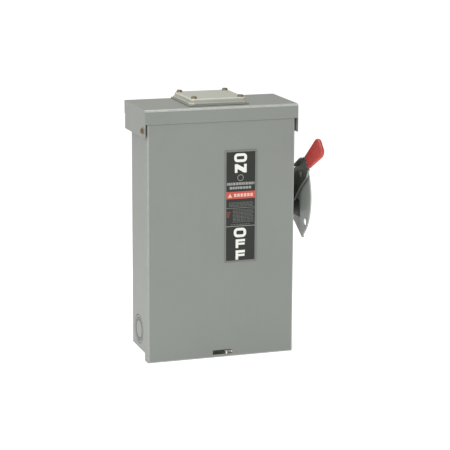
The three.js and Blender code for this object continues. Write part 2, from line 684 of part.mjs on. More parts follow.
// A folded tab on the cover's bottom flange, beside the staple.
function coverCatch() {
  const left = STAPLE_SHIFT + STAPLE_THICKNESS / 2 + CATCH_CLEARANCE;
  const right = LATCH_SLOT_SHIFT + LATCH_SLOT_WIDTH / 2 - CATCH_CLEARANCE;
  const floor = BOTTOM + SHEET + FIT_GAP;
  const front = COVER_DEPTH - SHEET - FIT_GAP;
  const foot = block([left, right], [COVER_DEPTH - COVER_FLANGE + CATCH_SETBACK, front], [
    floor,
    floor + CATCH_THICKNESS,
  ]);
  const upright = block(
    [left, right],
    [front - CATCH_THICKNESS, front],
    [floor, SLOT_Z + CATCH_RISE],
  );
  return piece("cover_catch", foot.add(upright), yellowZinc);
}

// ---- Handle, drawn upright about its axis and then leaned forward ----

const LEVER_HUB_TANGENT = Math.atan2(LEVER_SHOULDER[0] - LEVER_HUB_RADIUS, LEVER_SHOULDER[1]);
const HANDLE_LEAN = THREE.MathUtils.degToRad(HANDLE_ON_ANGLE);
const leanMatrix = new THREE.Matrix4()
  .makeTranslation(0, -HANDLE_DEPTH, HANDLE_Z)
  .multiply(new THREE.Matrix4().makeRotationX(HANDLE_LEAN));
const tongueMatrix = leanMatrix
  .clone()
  .multiply(new THREE.Matrix4().makeTranslation(LEVER_X + LEVER_THICKNESS / 2, 0, LEVER_BEND_RADIUS))
  .multiply(
    new THREE.Matrix4().makeRotationY(THREE.MathUtils.degToRad(GRIP_BEND_ANGLE)),
  );

// A flat outline in the lever's own plane, extruded along x and carried by a matrix.
function leverPlate(shape, [from, to], matrix, curveSegments = 6) {
  const geometry = new THREE.ExtrudeGeometry(shape, {
    depth: to - from,
    bevelEnabled: false,
    curveSegments,
  }).translate(0, 0, from);
  geometry.applyMatrix4(new THREE.Matrix4().makeBasis(...FRAMES.across));
  return solidOf(geometry.applyMatrix4(matrix));
}

function leverShape() {
  const shape = new THREE.Shape();
  shape.absarc(0, 0, LEVER_HUB_RADIUS, Math.PI, -LEVER_HUB_TANGENT, false);
  shape.lineTo(...LEVER_SHOULDER);
  shape.lineTo(LEVER_NECK_HALF, LEVER_BEND_RADIUS);
  shape.lineTo(-LEVER_NECK_HALF, LEVER_BEND_RADIUS);
  shape.lineTo(-LEVER_BELLY[0], LEVER_BELLY[1]);
  shape.lineTo(-LEVER_WAIST[0], LEVER_WAIST[1]);
  return shape;
}

// The stiffening flange along the lever's upper edge.
function leverFlange() {
  const [u0, w0] = LEVER_SHOULDER;
  const [u1, w1] = LEVER_FLANGE_END;
  const run = Math.hypot(u1 - u0, w1 - w0);
  const inward = [
    (-LEVER_FLANGE_THICKNESS * (w1 - w0)) / run,
    (LEVER_FLANGE_THICKNESS * (u1 - u0)) / run,
  ];
  const shape = outline([
    [u0, w0],
    [u1, w1],
    [u1 + inward[0], w1 + inward[1]],
    [u0 + inward[0], w0 + inward[1]],
  ]);
  return leverPlate(shape, [LEVER_X - LEVER_FLANGE, LEVER_X + LEVER_THICKNESS / 2], leanMatrix);
}

// A tongue of the lever inside the grip, widened and lengthened by a gap for the grip's pocket.
function tongue(gap) {
  const half = LEVER_TONGUE_HALF + gap;
  const shape = outline([
    [-half, -LAP],
    [half, -LAP],
    [half, LEVER_TONGUE_LENGTH + gap],
    [-half, LEVER_TONGUE_LENGTH + gap],
  ]);
  const t = LEVER_THICKNESS / 2 + gap;
  return leverPlate(shape, [-t, t], tongueMatrix);
}

function handleLever() {
  const range = [LEVER_X, LEVER_X + LEVER_THICKNESS];
  const plate = leverPlate(leverShape(), range, leanMatrix);
  const lock = new THREE.Shape().absarc(0, PADLOCK_HOLE_ARM, PADLOCK_HOLE_RADIUS, 0, 2 * Math.PI);
  const bore = new THREE.Shape().absarc(0, 0, SHAFT_RADIUS + FIT_GAP, 0, 2 * Math.PI);
  const cutRange = [range[0] - LAP, range[1] + LAP];
  const holes = [lock, bore].map((shape) => leverPlate(shape, cutRange, leanMatrix, 18));
  return piece("handle_lever", cut(joined(plate, leverFlange(), tongue(0)), ...holes), yellowZinc);
}

function gripShape() {
  const r = GRIP_CORNER_RADIUS;
  const shape = new THREE.Shape();
  shape.moveTo(-GRIP_BASE_HALF, GRIP_START);
  shape.lineTo(GRIP_BASE_HALF, GRIP_START);
  shape.absarc(GRIP_TIP_HALF - r, GRIP_LENGTH - r, r, 0, Math.PI / 2, false);
  shape.absarc(-GRIP_TIP_HALF + r, GRIP_LENGTH - r, r, Math.PI / 2, Math.PI, false);
  return shape;
}

function handleGrip() {
  const t = GRIP_THICKNESS / 2;
  const grip = leverPlate(gripShape(), [-t, t], tongueMatrix).subtract(tongue(FIT_GAP));
  return piece("handle_grip", grip, redVinyl);
}

// The shaft turns in the bushing and in the guard. Its inner end is square for the crank.
function handleShaft() {
  const inner = CRANK_X - CRANK_THICKNESS;
  const end = GUARD_X + GUARD_SHEET + SHAFT_END;
  const round = rod("across", [HANDLE_DEPTH, HANDLE_Z], SHAFT_RADIUS, [CRANK_X + SHAFT_SHOULDER, end]);
  const square = squareRod(SHAFT_SQUARE_HALF, [inner, CRANK_X + LAP]);
  return piece("handle_shaft", round.add(square), brightZinc);
}

function squareRod(half, [from, to]) {
  return block(
    [from, to],
    [HANDLE_DEPTH - half, HANDLE_DEPTH + half],
    [HANDLE_Z - half, HANDLE_Z + half],
  );
}

function shaftBushing() {
  const centre = [HANDLE_DEPTH, HANDLE_Z];
  const bore = SHAFT_RADIUS + FIT_GAP;
  const flangeFrom = BOX_HALF + FIT_GAP;
  const tube = sleeve("across", centre, BUSHING_RADIUS, bore, [
    BOX_HALF - SHEET - BUSHING_INSIDE,
    LEVER_X - FIT_GAP,
  ]);
  const flange = sleeve("across", centre, BUSHING_FLANGE_RADIUS, bore, [
    flangeFrom,
    flangeFrom + BUSHING_FLANGE,
  ]);
  return piece("shaft_bushing", tube.add(flange), blackMoulding);
}

// Steel plate with an arched front edge and a padlock hole. A web behind it carries two feet.
function handleGuard() {
  const rad = THREE.MathUtils.degToRad;
  const arcDepth = HANDLE_DEPTH - GUARD_ARC_SETBACK;
  const rear = -GUARD_REAR_DEPTH;
  const shape = new THREE.Shape();
  shape.absarc(
    -arcDepth,
    HANDLE_Z,
    GUARD_ARC_RADIUS,
    Math.PI - rad(GUARD_TOP_ANGLE),
    Math.PI - rad(GUARD_BOTTOM_ANGLE),
    false,
  );
  const tipY = -(HANDLE_DEPTH + GUARD_TIP_FORWARD);
  const tipZ = HANDLE_Z - GUARD_TIP_DROP;
  shape.lineTo(tipY - GUARD_TIP_HALF, tipZ + GUARD_TIP_HALF / 2);
  shape.lineTo(tipY + GUARD_TIP_HALF, tipZ);
  shape.lineTo(rear, HANDLE_Z - GUARD_HEEL_DROP);
  shape.lineTo(rear, HANDLE_Z + GUARD_REAR_RISE);
  shape.lineTo(-GUARD_CROWN_DEPTHS[0], HANDLE_Z + GUARD_CROWN_RISE);
  shape.lineTo(-GUARD_CROWN_DEPTHS[1], HANDLE_Z + GUARD_CROWN_RISE);
  const plate = extrude(shape, "across", [GUARD_X, GUARD_X + GUARD_SHEET], 14);
  const web = block(
    [BOX_HALF + FIT_GAP, GUARD_X + GUARD_SHEET],
    [GUARD_REAR_DEPTH, GUARD_REAR_DEPTH + GUARD_SHEET],
    [HANDLE_Z - GUARD_REAR_RISE, HANDLE_Z + GUARD_REAR_RISE],
  );
  const feet = GUARD_FEET.map((z) =>
    block(
      [BOX_HALF + FIT_GAP, BOX_HALF + FIT_GAP + GUARD_SHEET],
      [GUARD_REAR_DEPTH, GUARD_REAR_DEPTH + GUARD_SHEET + GUARD_FOOT_LENGTH],
      [z, z + GUARD_FOOT_HEIGHT],
    ),
  );
  const footRange = [BOX_HALF, BOX_HALF + FIT_GAP + GUARD_SHEET + LAP];
  const lockArm = PADLOCK_HOLE_ARM * Math.SQRT1_2;
  const holes = [
    rod(
      "across",
      [HANDLE_DEPTH + lockArm, HANDLE_Z - lockArm],
      PADLOCK_HOLE_RADIUS,
      [GUARD_X - LAP, GUARD_X + GUARD_SHEET + LAP],
      18,
    ),
    rod("across", [HANDLE_DEPTH, HANDLE_Z], SHAFT_RADIUS + FIT_GAP, [
      GUARD_X - LAP,
      GUARD_X + GUARD_SHEET + LAP,
    ]),
    ...GUARD_RIVETS.map((centre) =>
      rod("across", centre, GUARD_RIVET_RADIUS + FIT_GAP, footRange, 10),
    ),
  ];
  return piece("handle_guard", cut(joined(plate, web, ...feet), ...holes), greyEnamel);
}

function guardRivet(name, centre) {
  const outer = BOX_HALF + FIT_GAP + GUARD_SHEET + SEAT_GAP;
  const inner = BOX_HALF - SHEET - SEAT_GAP;
  const made = joined(
    rod("across", centre, GUARD_RIVET_HEAD, [outer, outer + RIVET_HEAD_HEIGHT], 12),
    rod("across", centre, GUARD_RIVET_RADIUS, [inner - LAP, outer + LAP], 10),
    rod("across", centre, GUARD_RIVET_HEAD, [inner - RIVET_HEAD_HEIGHT, inner], 12),
  );
  return piece(name, made, brightZinc);
}

// ---- Drive: crank on the shaft, link and crossbar form a parallelogram ----

// A plate with round ends, from one pivot to the other.
function dogBone([d0, z0], [d1, z1], [r0, r1], range) {
  const angle = Math.atan2(z1 - z0, -(d1 - d0));
  const shape = new THREE.Shape();
  shape.absarc(-d0, z0, r0, angle + Math.PI / 2, angle + (3 * Math.PI) / 2, false);
  shape.absarc(-d1, z1, r1, angle - Math.PI / 2, angle + Math.PI / 2, false);
  return extrude(shape, "across", range, 7);
}

const CRANK_PIN = [HANDLE_DEPTH, HANDLE_Z + CRANK_RADIUS];
const CROSSBAR_PIN = [ROTOR_DEPTH, ROTOR_Z + CRANK_RADIUS];

function shaftCrank() {
  const range = [CRANK_X - CRANK_THICKNESS, CRANK_X];
  const plate = dogBone(
    [HANDLE_DEPTH, HANDLE_Z],
    CRANK_PIN,
    [CRANK_HUB_RADIUS, LINK_HALF_WIDTH],
    range,
  );
  const pin = rod("across", CRANK_PIN, PIN_RADIUS, [LINK_X - PIN_END, CRANK_X - LAP], 14);
  const socket = squareRod(SHAFT_SQUARE_HALF + FIT_GAP, [range[0] - LAP, range[1] + LAP]);
  return piece("shaft_crank", cut(plate.add(pin), socket), brightZinc);
}

function driveLink() {
  const range = [LINK_X, LINK_X + LINK_THICKNESS];
  const bar = dogBone(CRANK_PIN, CROSSBAR_PIN, [LINK_HALF_WIDTH, LINK_HALF_WIDTH], range);
  const holes = [CRANK_PIN, CROSSBAR_PIN].map((centre) =>
    rod("across", centre, PIN_RADIUS + FIT_GAP, [range[0] - LAP, range[1] + LAP], 14),
  );
  return piece("drive_link", cut(bar, ...holes), yellowZinc);
}

// Torsion spring around the shaft, between the crank and the bushing.
function snapSpring() {
  const from = CRANK_X + SPRING_END_GAP;
  const to = BOX_HALF - SHEET - BUSHING_INSIDE - SPRING_END_GAP;
  class Helix extends THREE.Curve {
    getPoint(t, target = new THREE.Vector3()) {
      const turn = 2 * Math.PI * SPRING_TURNS * t;
      return target.set(
        from + (to - from) * t,
        -HANDLE_DEPTH + SPRING_COIL_RADIUS * Math.cos(turn),
        HANDLE_Z + SPRING_COIL_RADIUS * Math.sin(turn),
      );
    }
  }
  const section = new THREE.Shape().absarc(0, 0, SPRING_WIRE_RADIUS, 0, 2 * Math.PI);
  const geometry = new THREE.ExtrudeGeometry(section, {
    steps: 14 * SPRING_TURNS,
    curveSegments: 3,
    bevelEnabled: false,
    extrudePath: new Helix(),
  });
  return piece("snap_spring", solidOf(geometry), springSteel);
}

function crossbar() {
  const left = POLES[0] - CROSSBAR_OVERHANG;
  const right = LINK_X - FIT_GAP - CROSSBAR_END_GAP;
  const z = ROTOR_Z + CRANK_RADIUS;
  const bar = block(
    [left, right],
    [ROTOR_DEPTH - CROSSBAR_BACK, ROTOR_DEPTH + CROSSBAR_FRONT],
    [z - CROSSBAR_HALF_HEIGHT, z + CROSSBAR_HALF_HEIGHT],
  );
  const slots = POLES.map((x) =>
    block(
      [x - BLADE_THICKNESS / 2 - FIT_GAP, x + BLADE_THICKNESS / 2 + FIT_GAP],
      [ROTOR_DEPTH - CROSSBAR_BACK - LAP, ROTOR_DEPTH + BLADE_HALF_WIDTH + FIT_GAP],
      [z - CROSSBAR_HALF_HEIGHT - LAP, z + CROSSBAR_HALF_HEIGHT + LAP],
    ),
  );
  const pin = rod(
    "across",
    CROSSBAR_PIN,
    PIN_RADIUS,
    [right - LAP, LINK_X + LINK_THICKNESS + FIT_GAP / 2],
    14,
  );
  return piece("crossbar", joined(cut(bar, ...slots), pin), blackMoulding);
}

function blade(name, x) {
  const half = BLADE_THICKNESS / 2;
  const shape = new THREE.Shape();
  shape.absarc(-ROTOR_DEPTH, ROTOR_Z, BLADE_HALF_WIDTH, Math.PI, 2 * Math.PI, false);
  shape.lineTo(-ROTOR_DEPTH + BLADE_HALF_WIDTH, BLADE_TIP_Z - BLADE_CHAMFER);
  shape.lineTo(-ROTOR_DEPTH + BLADE_HALF_WIDTH - BLADE_CHAMFER, BLADE_TIP_Z);
  shape.lineTo(-ROTOR_DEPTH - BLADE_HALF_WIDTH + BLADE_REAR_CUT[0], BLADE_TIP_Z);
  shape.lineTo(-ROTOR_DEPTH - BLADE_HALF_WIDTH, BLADE_TIP_Z - BLADE_REAR_CUT[1]);
  const body = extrude(shape, "across", [x - half, x + half], 8);
  const hole = rod(
    "across",
    [ROTOR_DEPTH, ROTOR_Z],
    PIN_RADIUS + FIT_GAP,
    [x - half - LAP, x + half + LAP],
    14,
  );
  return piece(name, body.subtract(hole), copper);
}

function bladePin(name, x) {
  const reach = BLADE_THICKNESS / 2 + FIT_GAP + JAW_SHEET;
  const centre = [ROTOR_DEPTH, ROTOR_Z];
  const near = reach + SEAT_GAP;
  const far = near + BLADE_PIN_HEAD;
  const made = joined(
    rod("across", centre, PIN_RADIUS, [x - near - LAP, x + near + LAP], 14),
    rod("across", centre, PIN_RADIUS + BLADE_PIN_RIM, [x + near, x + far], 14),
    rod("across", centre, PIN_RADIUS + BLADE_PIN_RIM, [x - far, x - near], 14),
  );
  return piece(name, made, brightZinc);
}

// Two spring plates that hold the blade between them.
function jawPair(x, [d0, d1], [z0, z1]) {
  const near = BLADE_THICKNESS / 2 + FIT_GAP;
  return [-1, 1].map((side) => {
    const xs = [x + side * near, x + side * (near + JAW_SHEET)].sort((a, b) => a - b);
    return block(xs, [d0, d1], [z0, z1]);
  });
}

function conductorStrip(x, [z0, z1]) {
  return block([x - STRIP_HALF_WIDTH, x + STRIP_HALF_WIDTH], [STRIP_BACK, STRIP_FRONT], [z0, z1]);
}

function lineJaw(name, x) {
  const strip = conductorStrip(x, [JAW_Z - JAW_LEAD, LINE_LUG_Z + LUG_HEIGHT]);
  const depths = [STRIP_FRONT - LAP, STRIP_FRONT + JAW_DEPTH];
  const jaws = jawPair(x, depths, [JAW_Z, JAW_Z + JAW_HEIGHT]);
  return piece(name, joined(strip, ...jaws), tinnedCopper);
}

// A spring clip that holds a fuse cap, open to the front.
function fuseClip(x, [z0, z1]) {
  const inner = FUSE_CAP_RADIUS + FIT_GAP;
  const outer = inner + CLIP_SHEET;
  const half = THREE.MathUtils.degToRad(CLIP_OPENING / 2);
  const front = -Math.PI / 2;
  const shape = new THREE.Shape();
  shape.absarc(x, -FUSE_DEPTH, outer, front + half, front - half + 2 * Math.PI, false);
  shape.absarc(x, -FUSE_DEPTH, inner, front - half + 2 * Math.PI, front + half, true);
  return extrude(shape, "up", [z0, z1], 12);
}

function upperTerminal(name, x) {
  const capMiddle = FUSE_TOP_Z - FUSE_CAP_LENGTH / 2;
  const clip = [capMiddle - CLIP_LENGTH / 2, capMiddle + CLIP_LENGTH / 2];
  const strip = conductorStrip(x, [clip[0], ROTOR_Z + EAR_HALF + LAP]);
  const depths = [STRIP_FRONT - LAP, ROTOR_DEPTH + EAR_HALF];
  const ears = jawPair(x, depths, [ROTOR_Z - EAR_HALF, ROTOR_Z + EAR_HALF]);
  const reach = BLADE_THICKNESS / 2 + FIT_GAP + JAW_SHEET + LAP;
  const hole = rod(
    "across",
    [ROTOR_DEPTH, ROTOR_Z],
    PIN_RADIUS + FIT_GAP,
    [x - reach, x + reach],
    14,
  );
  const ring = fuseClip(x, clip);
  return piece(name, joined(cut(joined(strip, ...ears), hole), ring), tinnedCopper);
}

function lowerTerminal(name, x) {
  const capMiddle = FUSE_BOTTOM_Z + FUSE_CAP_LENGTH / 2;
  const clip = [capMiddle - CLIP_LENGTH / 2, capMiddle + CLIP_LENGTH / 2];
  return piece(
    name,
    conductorStrip(x, [LOAD_LUG_Z, clip[1]]).add(fuseClip(x, clip)),
    tinnedCopper,
  );
}

function fuse(number, x) {
  const centre = [x, FUSE_DEPTH];
  const capInner = FUSE_TUBE_RADIUS + FIT_GAP;
  const tube = rod(
    "up",
    centre,
    FUSE_TUBE_RADIUS,
    [FUSE_BOTTOM_Z + FUSE_TUBE_INSET, FUSE_TOP_Z - FUSE_TUBE_INSET],
    20,
  );
  const cap = (end, z, inwards) => {
    const [low, high] = inwards > 0 ? [z, z + FUSE_CAP_LENGTH] : [z - FUSE_CAP_LENGTH, z];
    const pocket = inwards > 0 ? [low + FUSE_CAP_END, high + LAP] : [low - LAP, high - FUSE_CAP_END];
    const made = rod("up", centre, FUSE_CAP_RADIUS, [low, high]).subtract(
      rod("up", centre, capInner, pocket),
    );
    return piece("fuse_" + number + "_" + end + "_cap", made, tinnedCopper);
  };
  return [
    piece("fuse_" + number + "_tube", tube, greyFibre),
    cap("top", FUSE_TOP_Z, -1),
    cap("bottom", FUSE_BOTTOM_Z, 1),
  ];
}

// A block lug with an upright wire bore and a screw entered from the front.
function lug(name, x, back, z, finishOf = aluminium) {
  const bore = [x, back + LUG_BORE_RADIUS + LUG_BORE_WALL];
  const middle = z + LUG_HEIGHT / 2;
  const half = LUG_WIDTH / 2;
  const body = cut(
    block([x - half, x + half], [back, back + LUG_DEPTH], [z, z + LUG_HEIGHT]),
    rod("up", bore, LUG_BORE_RADIUS, [z - LAP, z + LUG_HEIGHT + LAP], 14),
    rod(
      "forward",
      [x, middle],
      LUG_SCREW_RADIUS + FIT_GAP,
      [bore[1], back + LUG_DEPTH + LAP],
      14,
    ),
  );
  const screwBack = bore[1] + LUG_BORE_RADIUS - LUG_SCREW_TIP;
  const socket = rod(
    "forward",
    [x, middle],
    SOCKET_RADIUS,
    [back + LUG_DEPTH - SOCKET_DEPTH, back + LUG_DEPTH + LAP],
    6,
  );
  const screw = rod(
    "forward",
    [x, middle],
    LUG_SCREW_RADIUS,
    [screwBack, back + LUG_DEPTH - LUG_SCREW_SUNK],
    14,
  ).subtract(socket);
  return [piece(name, body, finishOf), piece(name + "_screw", screw, brightZinc)];
}

// ---- Moulded base, shield, neutral and ground ----

function switchBase() {
  const left = POLE_CENTRE - BASE_HALF_WIDTH;
  const right = POLE_CENTRE + BASE_HALF_WIDTH;
  const slab = block([left, right], [BASE_BACK, BASE_FRONT], [BASE_BOTTOM, BASE_TOP]);
  const barrier = (x, [z0, z1]) =>
    block(
      [x - BARRIER_THICKNESS / 2, x + BARRIER_THICKNESS / 2],
      [BASE_FRONT - LAP, BASE_FRONT + BARRIER_DEPTH],
      [z0, z1],
    );
  // The barriers stop short of the crossbar's path.
  const upper = [ROTOR_Z + CRANK_RADIUS + CROSSBAR_HALF_HEIGHT + BARRIER_CLEARANCE, BASE_TOP];
  const lower = [BASE_BOTTOM, FUSE_TOP_Z - BARRIER_STOP];
  const edge = BARRIER_THICKNESS / 2;
  const barriers = [left + edge, POLE_CENTRE, right - edge].flatMap((x) => [
    barrier(x, upper),
    barrier(x, lower),
  ]);
  return piece("switch_base", joined(slab, ...barriers), blackMoulding);
}

// A clear sheet in front of the live line lugs, with legs that stand on the base.
function lineShield() {
  const left = POLE_CENTRE - BASE_HALF_WIDTH + BARRIER_THICKNESS + SHIELD_SIDE_GAP;
  const right = POLE_CENTRE + BASE_HALF_WIDTH - BARRIER_THICKNESS - SHIELD_SIDE_GAP;
  const z = [LINE_LUG_Z - SHIELD_DROP, BASE_TOP];
  const face = block([left, right], [SHIELD_DEPTH - SHIELD_SHEET, SHIELD_DEPTH], z);
  const legs = [
    [left, left + SHIELD_SHEET],
    [right - SHIELD_SHEET, right],
  ].map((x) => block(x, [BASE_FRONT + FIT_GAP, SHIELD_DEPTH], z));
  return piece("line_shield", joined(face, ...legs), clearShield);
}

function neutralGroup() {
  const x = -BOX_HALF + NEUTRAL_INSET;
  const z = BOX_BOTTOM + NEUTRAL_RISE;
  const half = NEUTRAL_WIDTH / 2;
  const front = BASE_BACK + BASE_THICKNESS;
  const insulator = block([x - half, x + half], [BASE_BACK, front], [
    z - NEUTRAL_MARGIN,
    z + NEUTRAL_LENGTH + NEUTRAL_MARGIN,
  ]);
  const back = front + FIT_GAP;
  const bore = [x, back + LUG_BORE_RADIUS + NEUTRAL_BORE_WALL];
  const depth = NEUTRAL_DEPTH;
  const ends = [z + NEUTRAL_SCREW_INSET, z + NEUTRAL_LENGTH - NEUTRAL_SCREW_INSET];
  const bar = cut(
    block([x - half, x + half], [back, back + depth], [z, z + NEUTRAL_LENGTH]),
    rod("up", bore, LUG_BORE_RADIUS, [z - LAP, z + NEUTRAL_LENGTH + LAP], 14),
    ...ends.map((end) =>
      rod("forward", [x, end], LUG_SCREW_RADIUS + FIT_GAP, [bore[1], back + depth + LAP], 14),
    ),
  );
  const screws = ends.map((end, i) => {
    const socketDepths = [back + depth - SOCKET_DEPTH, back + depth + LAP];
    const socket = rod("forward", [x, end], SOCKET_RADIUS, socketDepths, 6);
    const screw = rod(
      "forward",
      [x, end],
      LUG_SCREW_RADIUS,
      [bore[1] + LUG_BORE_RADIUS - LUG_SCREW_TIP, back + depth - LUG_SCREW_SUNK],
      14,
    );
    return piece("neutral_screw_" + (i + 1), screw.subtract(socket), brightZinc);
  });
  return [
    piece("neutral_insulator", insulator, blackMoulding),
    piece("neutral_bar", bar, aluminium),
    ...screws,
  ];
}

// ---- Assembly ----

const part = new THREE.Group();
part.add(
  enclosureBody(),
  ...knockouts(),
  topHood(),
  ...hubClosure(),
  frontCover(),
  hingeScrew("hinge_screw_left", -1),
  hingeScrew("hinge_screw_right", 1),
  coverLabel(),
  latchStaple(),
  coverCatch(),
  handleGuard(),
  ...GUARD_RIVETS.map((centre, i) => guardRivet("guard_rivet_" + (i + 1), centre)),
  handleLever(),
  handleGrip(),
  handleShaft(),
  shaftBushing(),
  shaftCrank(),
  driveLink(),
  snapSpring(),
  crossbar(),
  switchBase(),
  lineShield(),
  ...neutralGroup(),
  ...lug("ground_lug", BOX_HALF - GROUND_INSET, BASE_BACK, BOX_BOTTOM + GROUND_RISE),
);
POLES.forEach((x, i) => {
  const number = i + 1;
  part.add(
    blade("blade_" + number, x),
    bladePin("blade_pin_" + number, x),
    lineJaw("line_jaw_" + number, x),
    upperTerminal("upper_terminal_" + number, x),
    lowerTerminal("lower_terminal_" + number, x),
    ...fuse(number, x),
    ...lug("line_lug_" + number, x, STRIP_FRONT + FIT_GAP, LINE_LUG_Z),
    ...lug("load_lug_" + number, x, STRIP_FRONT + FIT_GAP, LOAD_LUG_Z),
  );
});

export default part;
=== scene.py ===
"""Looks of a side-operated raintight disconnect switch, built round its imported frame.

Lengths are metres. X is to the right, -Y comes out of the front, and Z is up.
"""

import json
import math
import random

import bmesh
import bpy
from mathutils import Matrix, Vector


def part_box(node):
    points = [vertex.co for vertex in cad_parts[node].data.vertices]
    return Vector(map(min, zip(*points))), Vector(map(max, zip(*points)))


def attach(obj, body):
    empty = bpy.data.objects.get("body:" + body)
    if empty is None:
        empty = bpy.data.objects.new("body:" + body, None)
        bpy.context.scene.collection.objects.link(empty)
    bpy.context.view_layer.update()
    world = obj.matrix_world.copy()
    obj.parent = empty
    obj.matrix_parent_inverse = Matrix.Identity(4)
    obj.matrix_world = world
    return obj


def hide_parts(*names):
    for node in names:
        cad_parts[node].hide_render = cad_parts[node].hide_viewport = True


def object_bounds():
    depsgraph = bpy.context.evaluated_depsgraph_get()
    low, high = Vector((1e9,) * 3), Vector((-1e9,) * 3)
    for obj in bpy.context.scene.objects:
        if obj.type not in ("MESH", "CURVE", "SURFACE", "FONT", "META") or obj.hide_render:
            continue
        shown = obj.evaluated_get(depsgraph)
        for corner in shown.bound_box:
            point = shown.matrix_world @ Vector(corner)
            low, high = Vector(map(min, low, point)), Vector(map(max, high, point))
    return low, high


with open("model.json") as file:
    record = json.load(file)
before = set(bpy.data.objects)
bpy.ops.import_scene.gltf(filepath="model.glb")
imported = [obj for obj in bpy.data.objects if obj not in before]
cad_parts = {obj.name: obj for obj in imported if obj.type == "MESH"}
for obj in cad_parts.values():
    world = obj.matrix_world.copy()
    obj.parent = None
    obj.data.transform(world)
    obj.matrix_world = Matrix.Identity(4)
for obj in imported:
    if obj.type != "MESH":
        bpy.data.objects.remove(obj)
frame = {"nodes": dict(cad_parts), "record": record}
cad_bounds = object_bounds()

MM = 0.001
FULL_TURN = 2 * math.pi
RIGHT = Vector((1, 0, 0))
REAR = Vector((0, 1, 0))
UP = Vector((0, 0, 1))
SAME_POINT = 1e-6  # corners this close together are one corner
ON_FACE = 0.1 * MM  # an edge this close to a face lies on it
FACING = 0.9  # share of a normal along an axis that its face looks along
SQUARE_ON = 0.95  # the same, for a flat next to a rounded fold

BODY_OF = {
    node: body for body, nodes in frame["record"]["behaviour"]["bodies"].items() for node in nodes
}
SLOT_OF = {part["node"]: part["material_slot"] for part in frame["record"]["subparts"]}


# ---- Shader maths ----


class Value:
    """A number that varies over a surface, with the operators that combine such numbers."""

    def __init__(self, finish, socket):
        self.finish = finish
        self.socket = socket

    def math(self, operation, *others, clamp=False):
        inputs = dict(enumerate((self,) + others))
        settings = {"operation": operation, "use_clamp": clamp}
        made = self.finish.node("ShaderNodeMath", settings, inputs)
        return Value(self.finish, made.outputs[0])

    def __add__(self, other):
        return self.math("ADD", other)

    def __radd__(self, other):
        return self.math("ADD", other)

    def __mul__(self, other):
        return self.math("MULTIPLY", other)

    def __rmul__(self, other):
        return self.math("MULTIPLY", other)

    def __sub__(self, other):
        return self.math("SUBTRACT", other)

    def __rsub__(self, other):
        return (self * -1.0) + other

    def __truediv__(self, other):
        return self.math("DIVIDE", other)

    def clamped(self):
        return self.math("ADD", 0.0, clamp=True)

    def rising(self, low, high):
        """0 below low, 1 above high, and a smooth step between them."""
        settings = {"interpolation_type": "SMOOTHSTEP", "clamp": True}
        inputs = {"Value": self, "From Min": low, "From Max": high}
        made = self.finish.node("ShaderNodeMapRange", settings, inputs)
        return Value(self.finish, made.outputs["Result"])

    def within(self, low, high, soft):
        """1 between low and high, with soft edges."""
        return self.rising(low - soft, low) * (1 - self.rising(high, high + soft))


class Finish:
    """A procedural material: fixed numbers sit on its shader, and what varies is linked in."""

    def __init__(self, name, **fixed):
        self.material = bpy.data.materials.new(name)
        self.material.use_nodes = True
        self.tree = self.material.node_tree
        self.tree.nodes.clear()
        named = {key.replace("_", " ").title().replace("Ior", "IOR"): v for key, v in fixed.items()}
        self.shader = self.node("ShaderNodeBsdfPrincipled", {}, named)
        output = self.node("ShaderNodeOutputMaterial", {}, {})
        self.tree.links.new(self.shader.outputs[0], output.inputs["Surface"])
        self.place = self.node("ShaderNodeTexCoord", {}, {}).outputs["Object"]

    def node(self, kind, settings, inputs):
        made = self.tree.nodes.new(kind)
        for key, value in settings.items():
            setattr(made, key, value)
        for key, value in inputs.items():
            source = value.socket if isinstance(value, Value) else value
            if isinstance(source, bpy.types.NodeSocket):
                self.tree.links.new(source, made.inputs[key])
            else:
                made.inputs[key].default_value = source
        return made

    def axes(self):
        """The place on the surface as three numbers."""
        split = self.node("ShaderNodeSeparateXYZ", {}, {0: self.place})
        return [Value(self, output) for output in split.outputs]

    def stretched(self, stretch):
        inputs = {"Vector": self.place, "Scale": stretch}
        return self.node("ShaderNodeMapping", {}, inputs).outputs[0]

    def noise(self, size_mm, detail=3.0, roughness=0.5, stretch=(1, 1, 1)):
        """Cloudy noise from 0 to 1 whose blotches are about size_mm across."""
        inputs = {
            "Vector": self.stretched(stretch),
            "Scale": 1 / (size_mm * MM),
            "Detail": detail,
            "Roughness": roughness,
        }
        return Value(self, self.node("ShaderNodeTexNoise", {}, inputs).outputs[0])

    def cells(self, size_mm):
        """Distance to the nearest of many scattered points, size_mm apart."""
        inputs = {"Vector": self.place, "Scale": 1 / (size_mm * MM)}
        made = self.node("ShaderNodeTexVoronoi", {"feature": "F1"}, inputs)
        return Value(self, made.outputs["Distance"])

    def folds(self):
        """1 on folded and rounded edges, 0 on the flats between them."""
        made = self.node("ShaderNodeAttribute", {"attribute_name": "fold"}, {})
        return Value(self, made.outputs["Fac"])

    def grooves(self):
        """1 in scored lines, which the enamel darkens as painted shade."""
        made = self.node("ShaderNodeAttribute", {"attribute_name": "groove"}, {})
        return Value(self, made.outputs["Fac"])

    def mix(self, factor, first, second):
        """The first colour where the factor is 0, the second where it is 1. A and B are 6 and 7."""
        inputs = {"Factor": factor, 6: tinted(first), 7: tinted(second)}
        return self.node("ShaderNodeMix", {"data_type": "RGBA"}, inputs).outputs[2]

    def set(self, socket, value):
        source = value.socket if isinstance(value, Value) else value
        self.tree.links.new(source, self.shader.inputs[socket])

    def bump(self, height, depth_mm):
        inputs = {"Height": height, "Distance": depth_mm * MM, "Strength": 1.0}
        made = self.node("ShaderNodeBump", {}, inputs)
        self.set("Normal", made.outputs[0])


def tinted(colour):
    return (*colour, 1.0) if isinstance(colour, tuple) and len(colour) == 3 else colour


# ---- Finishes ----


DUST = (0.20, 0.21, 0.20)
# Painted shade for scored grooves.
GROOVE_PAINTED_SHADE = (0.045, 0.046, 0.042)
RUBBED_STEEL_AND_HIGHLIGHT = (0.60, 0.58, 0.52)


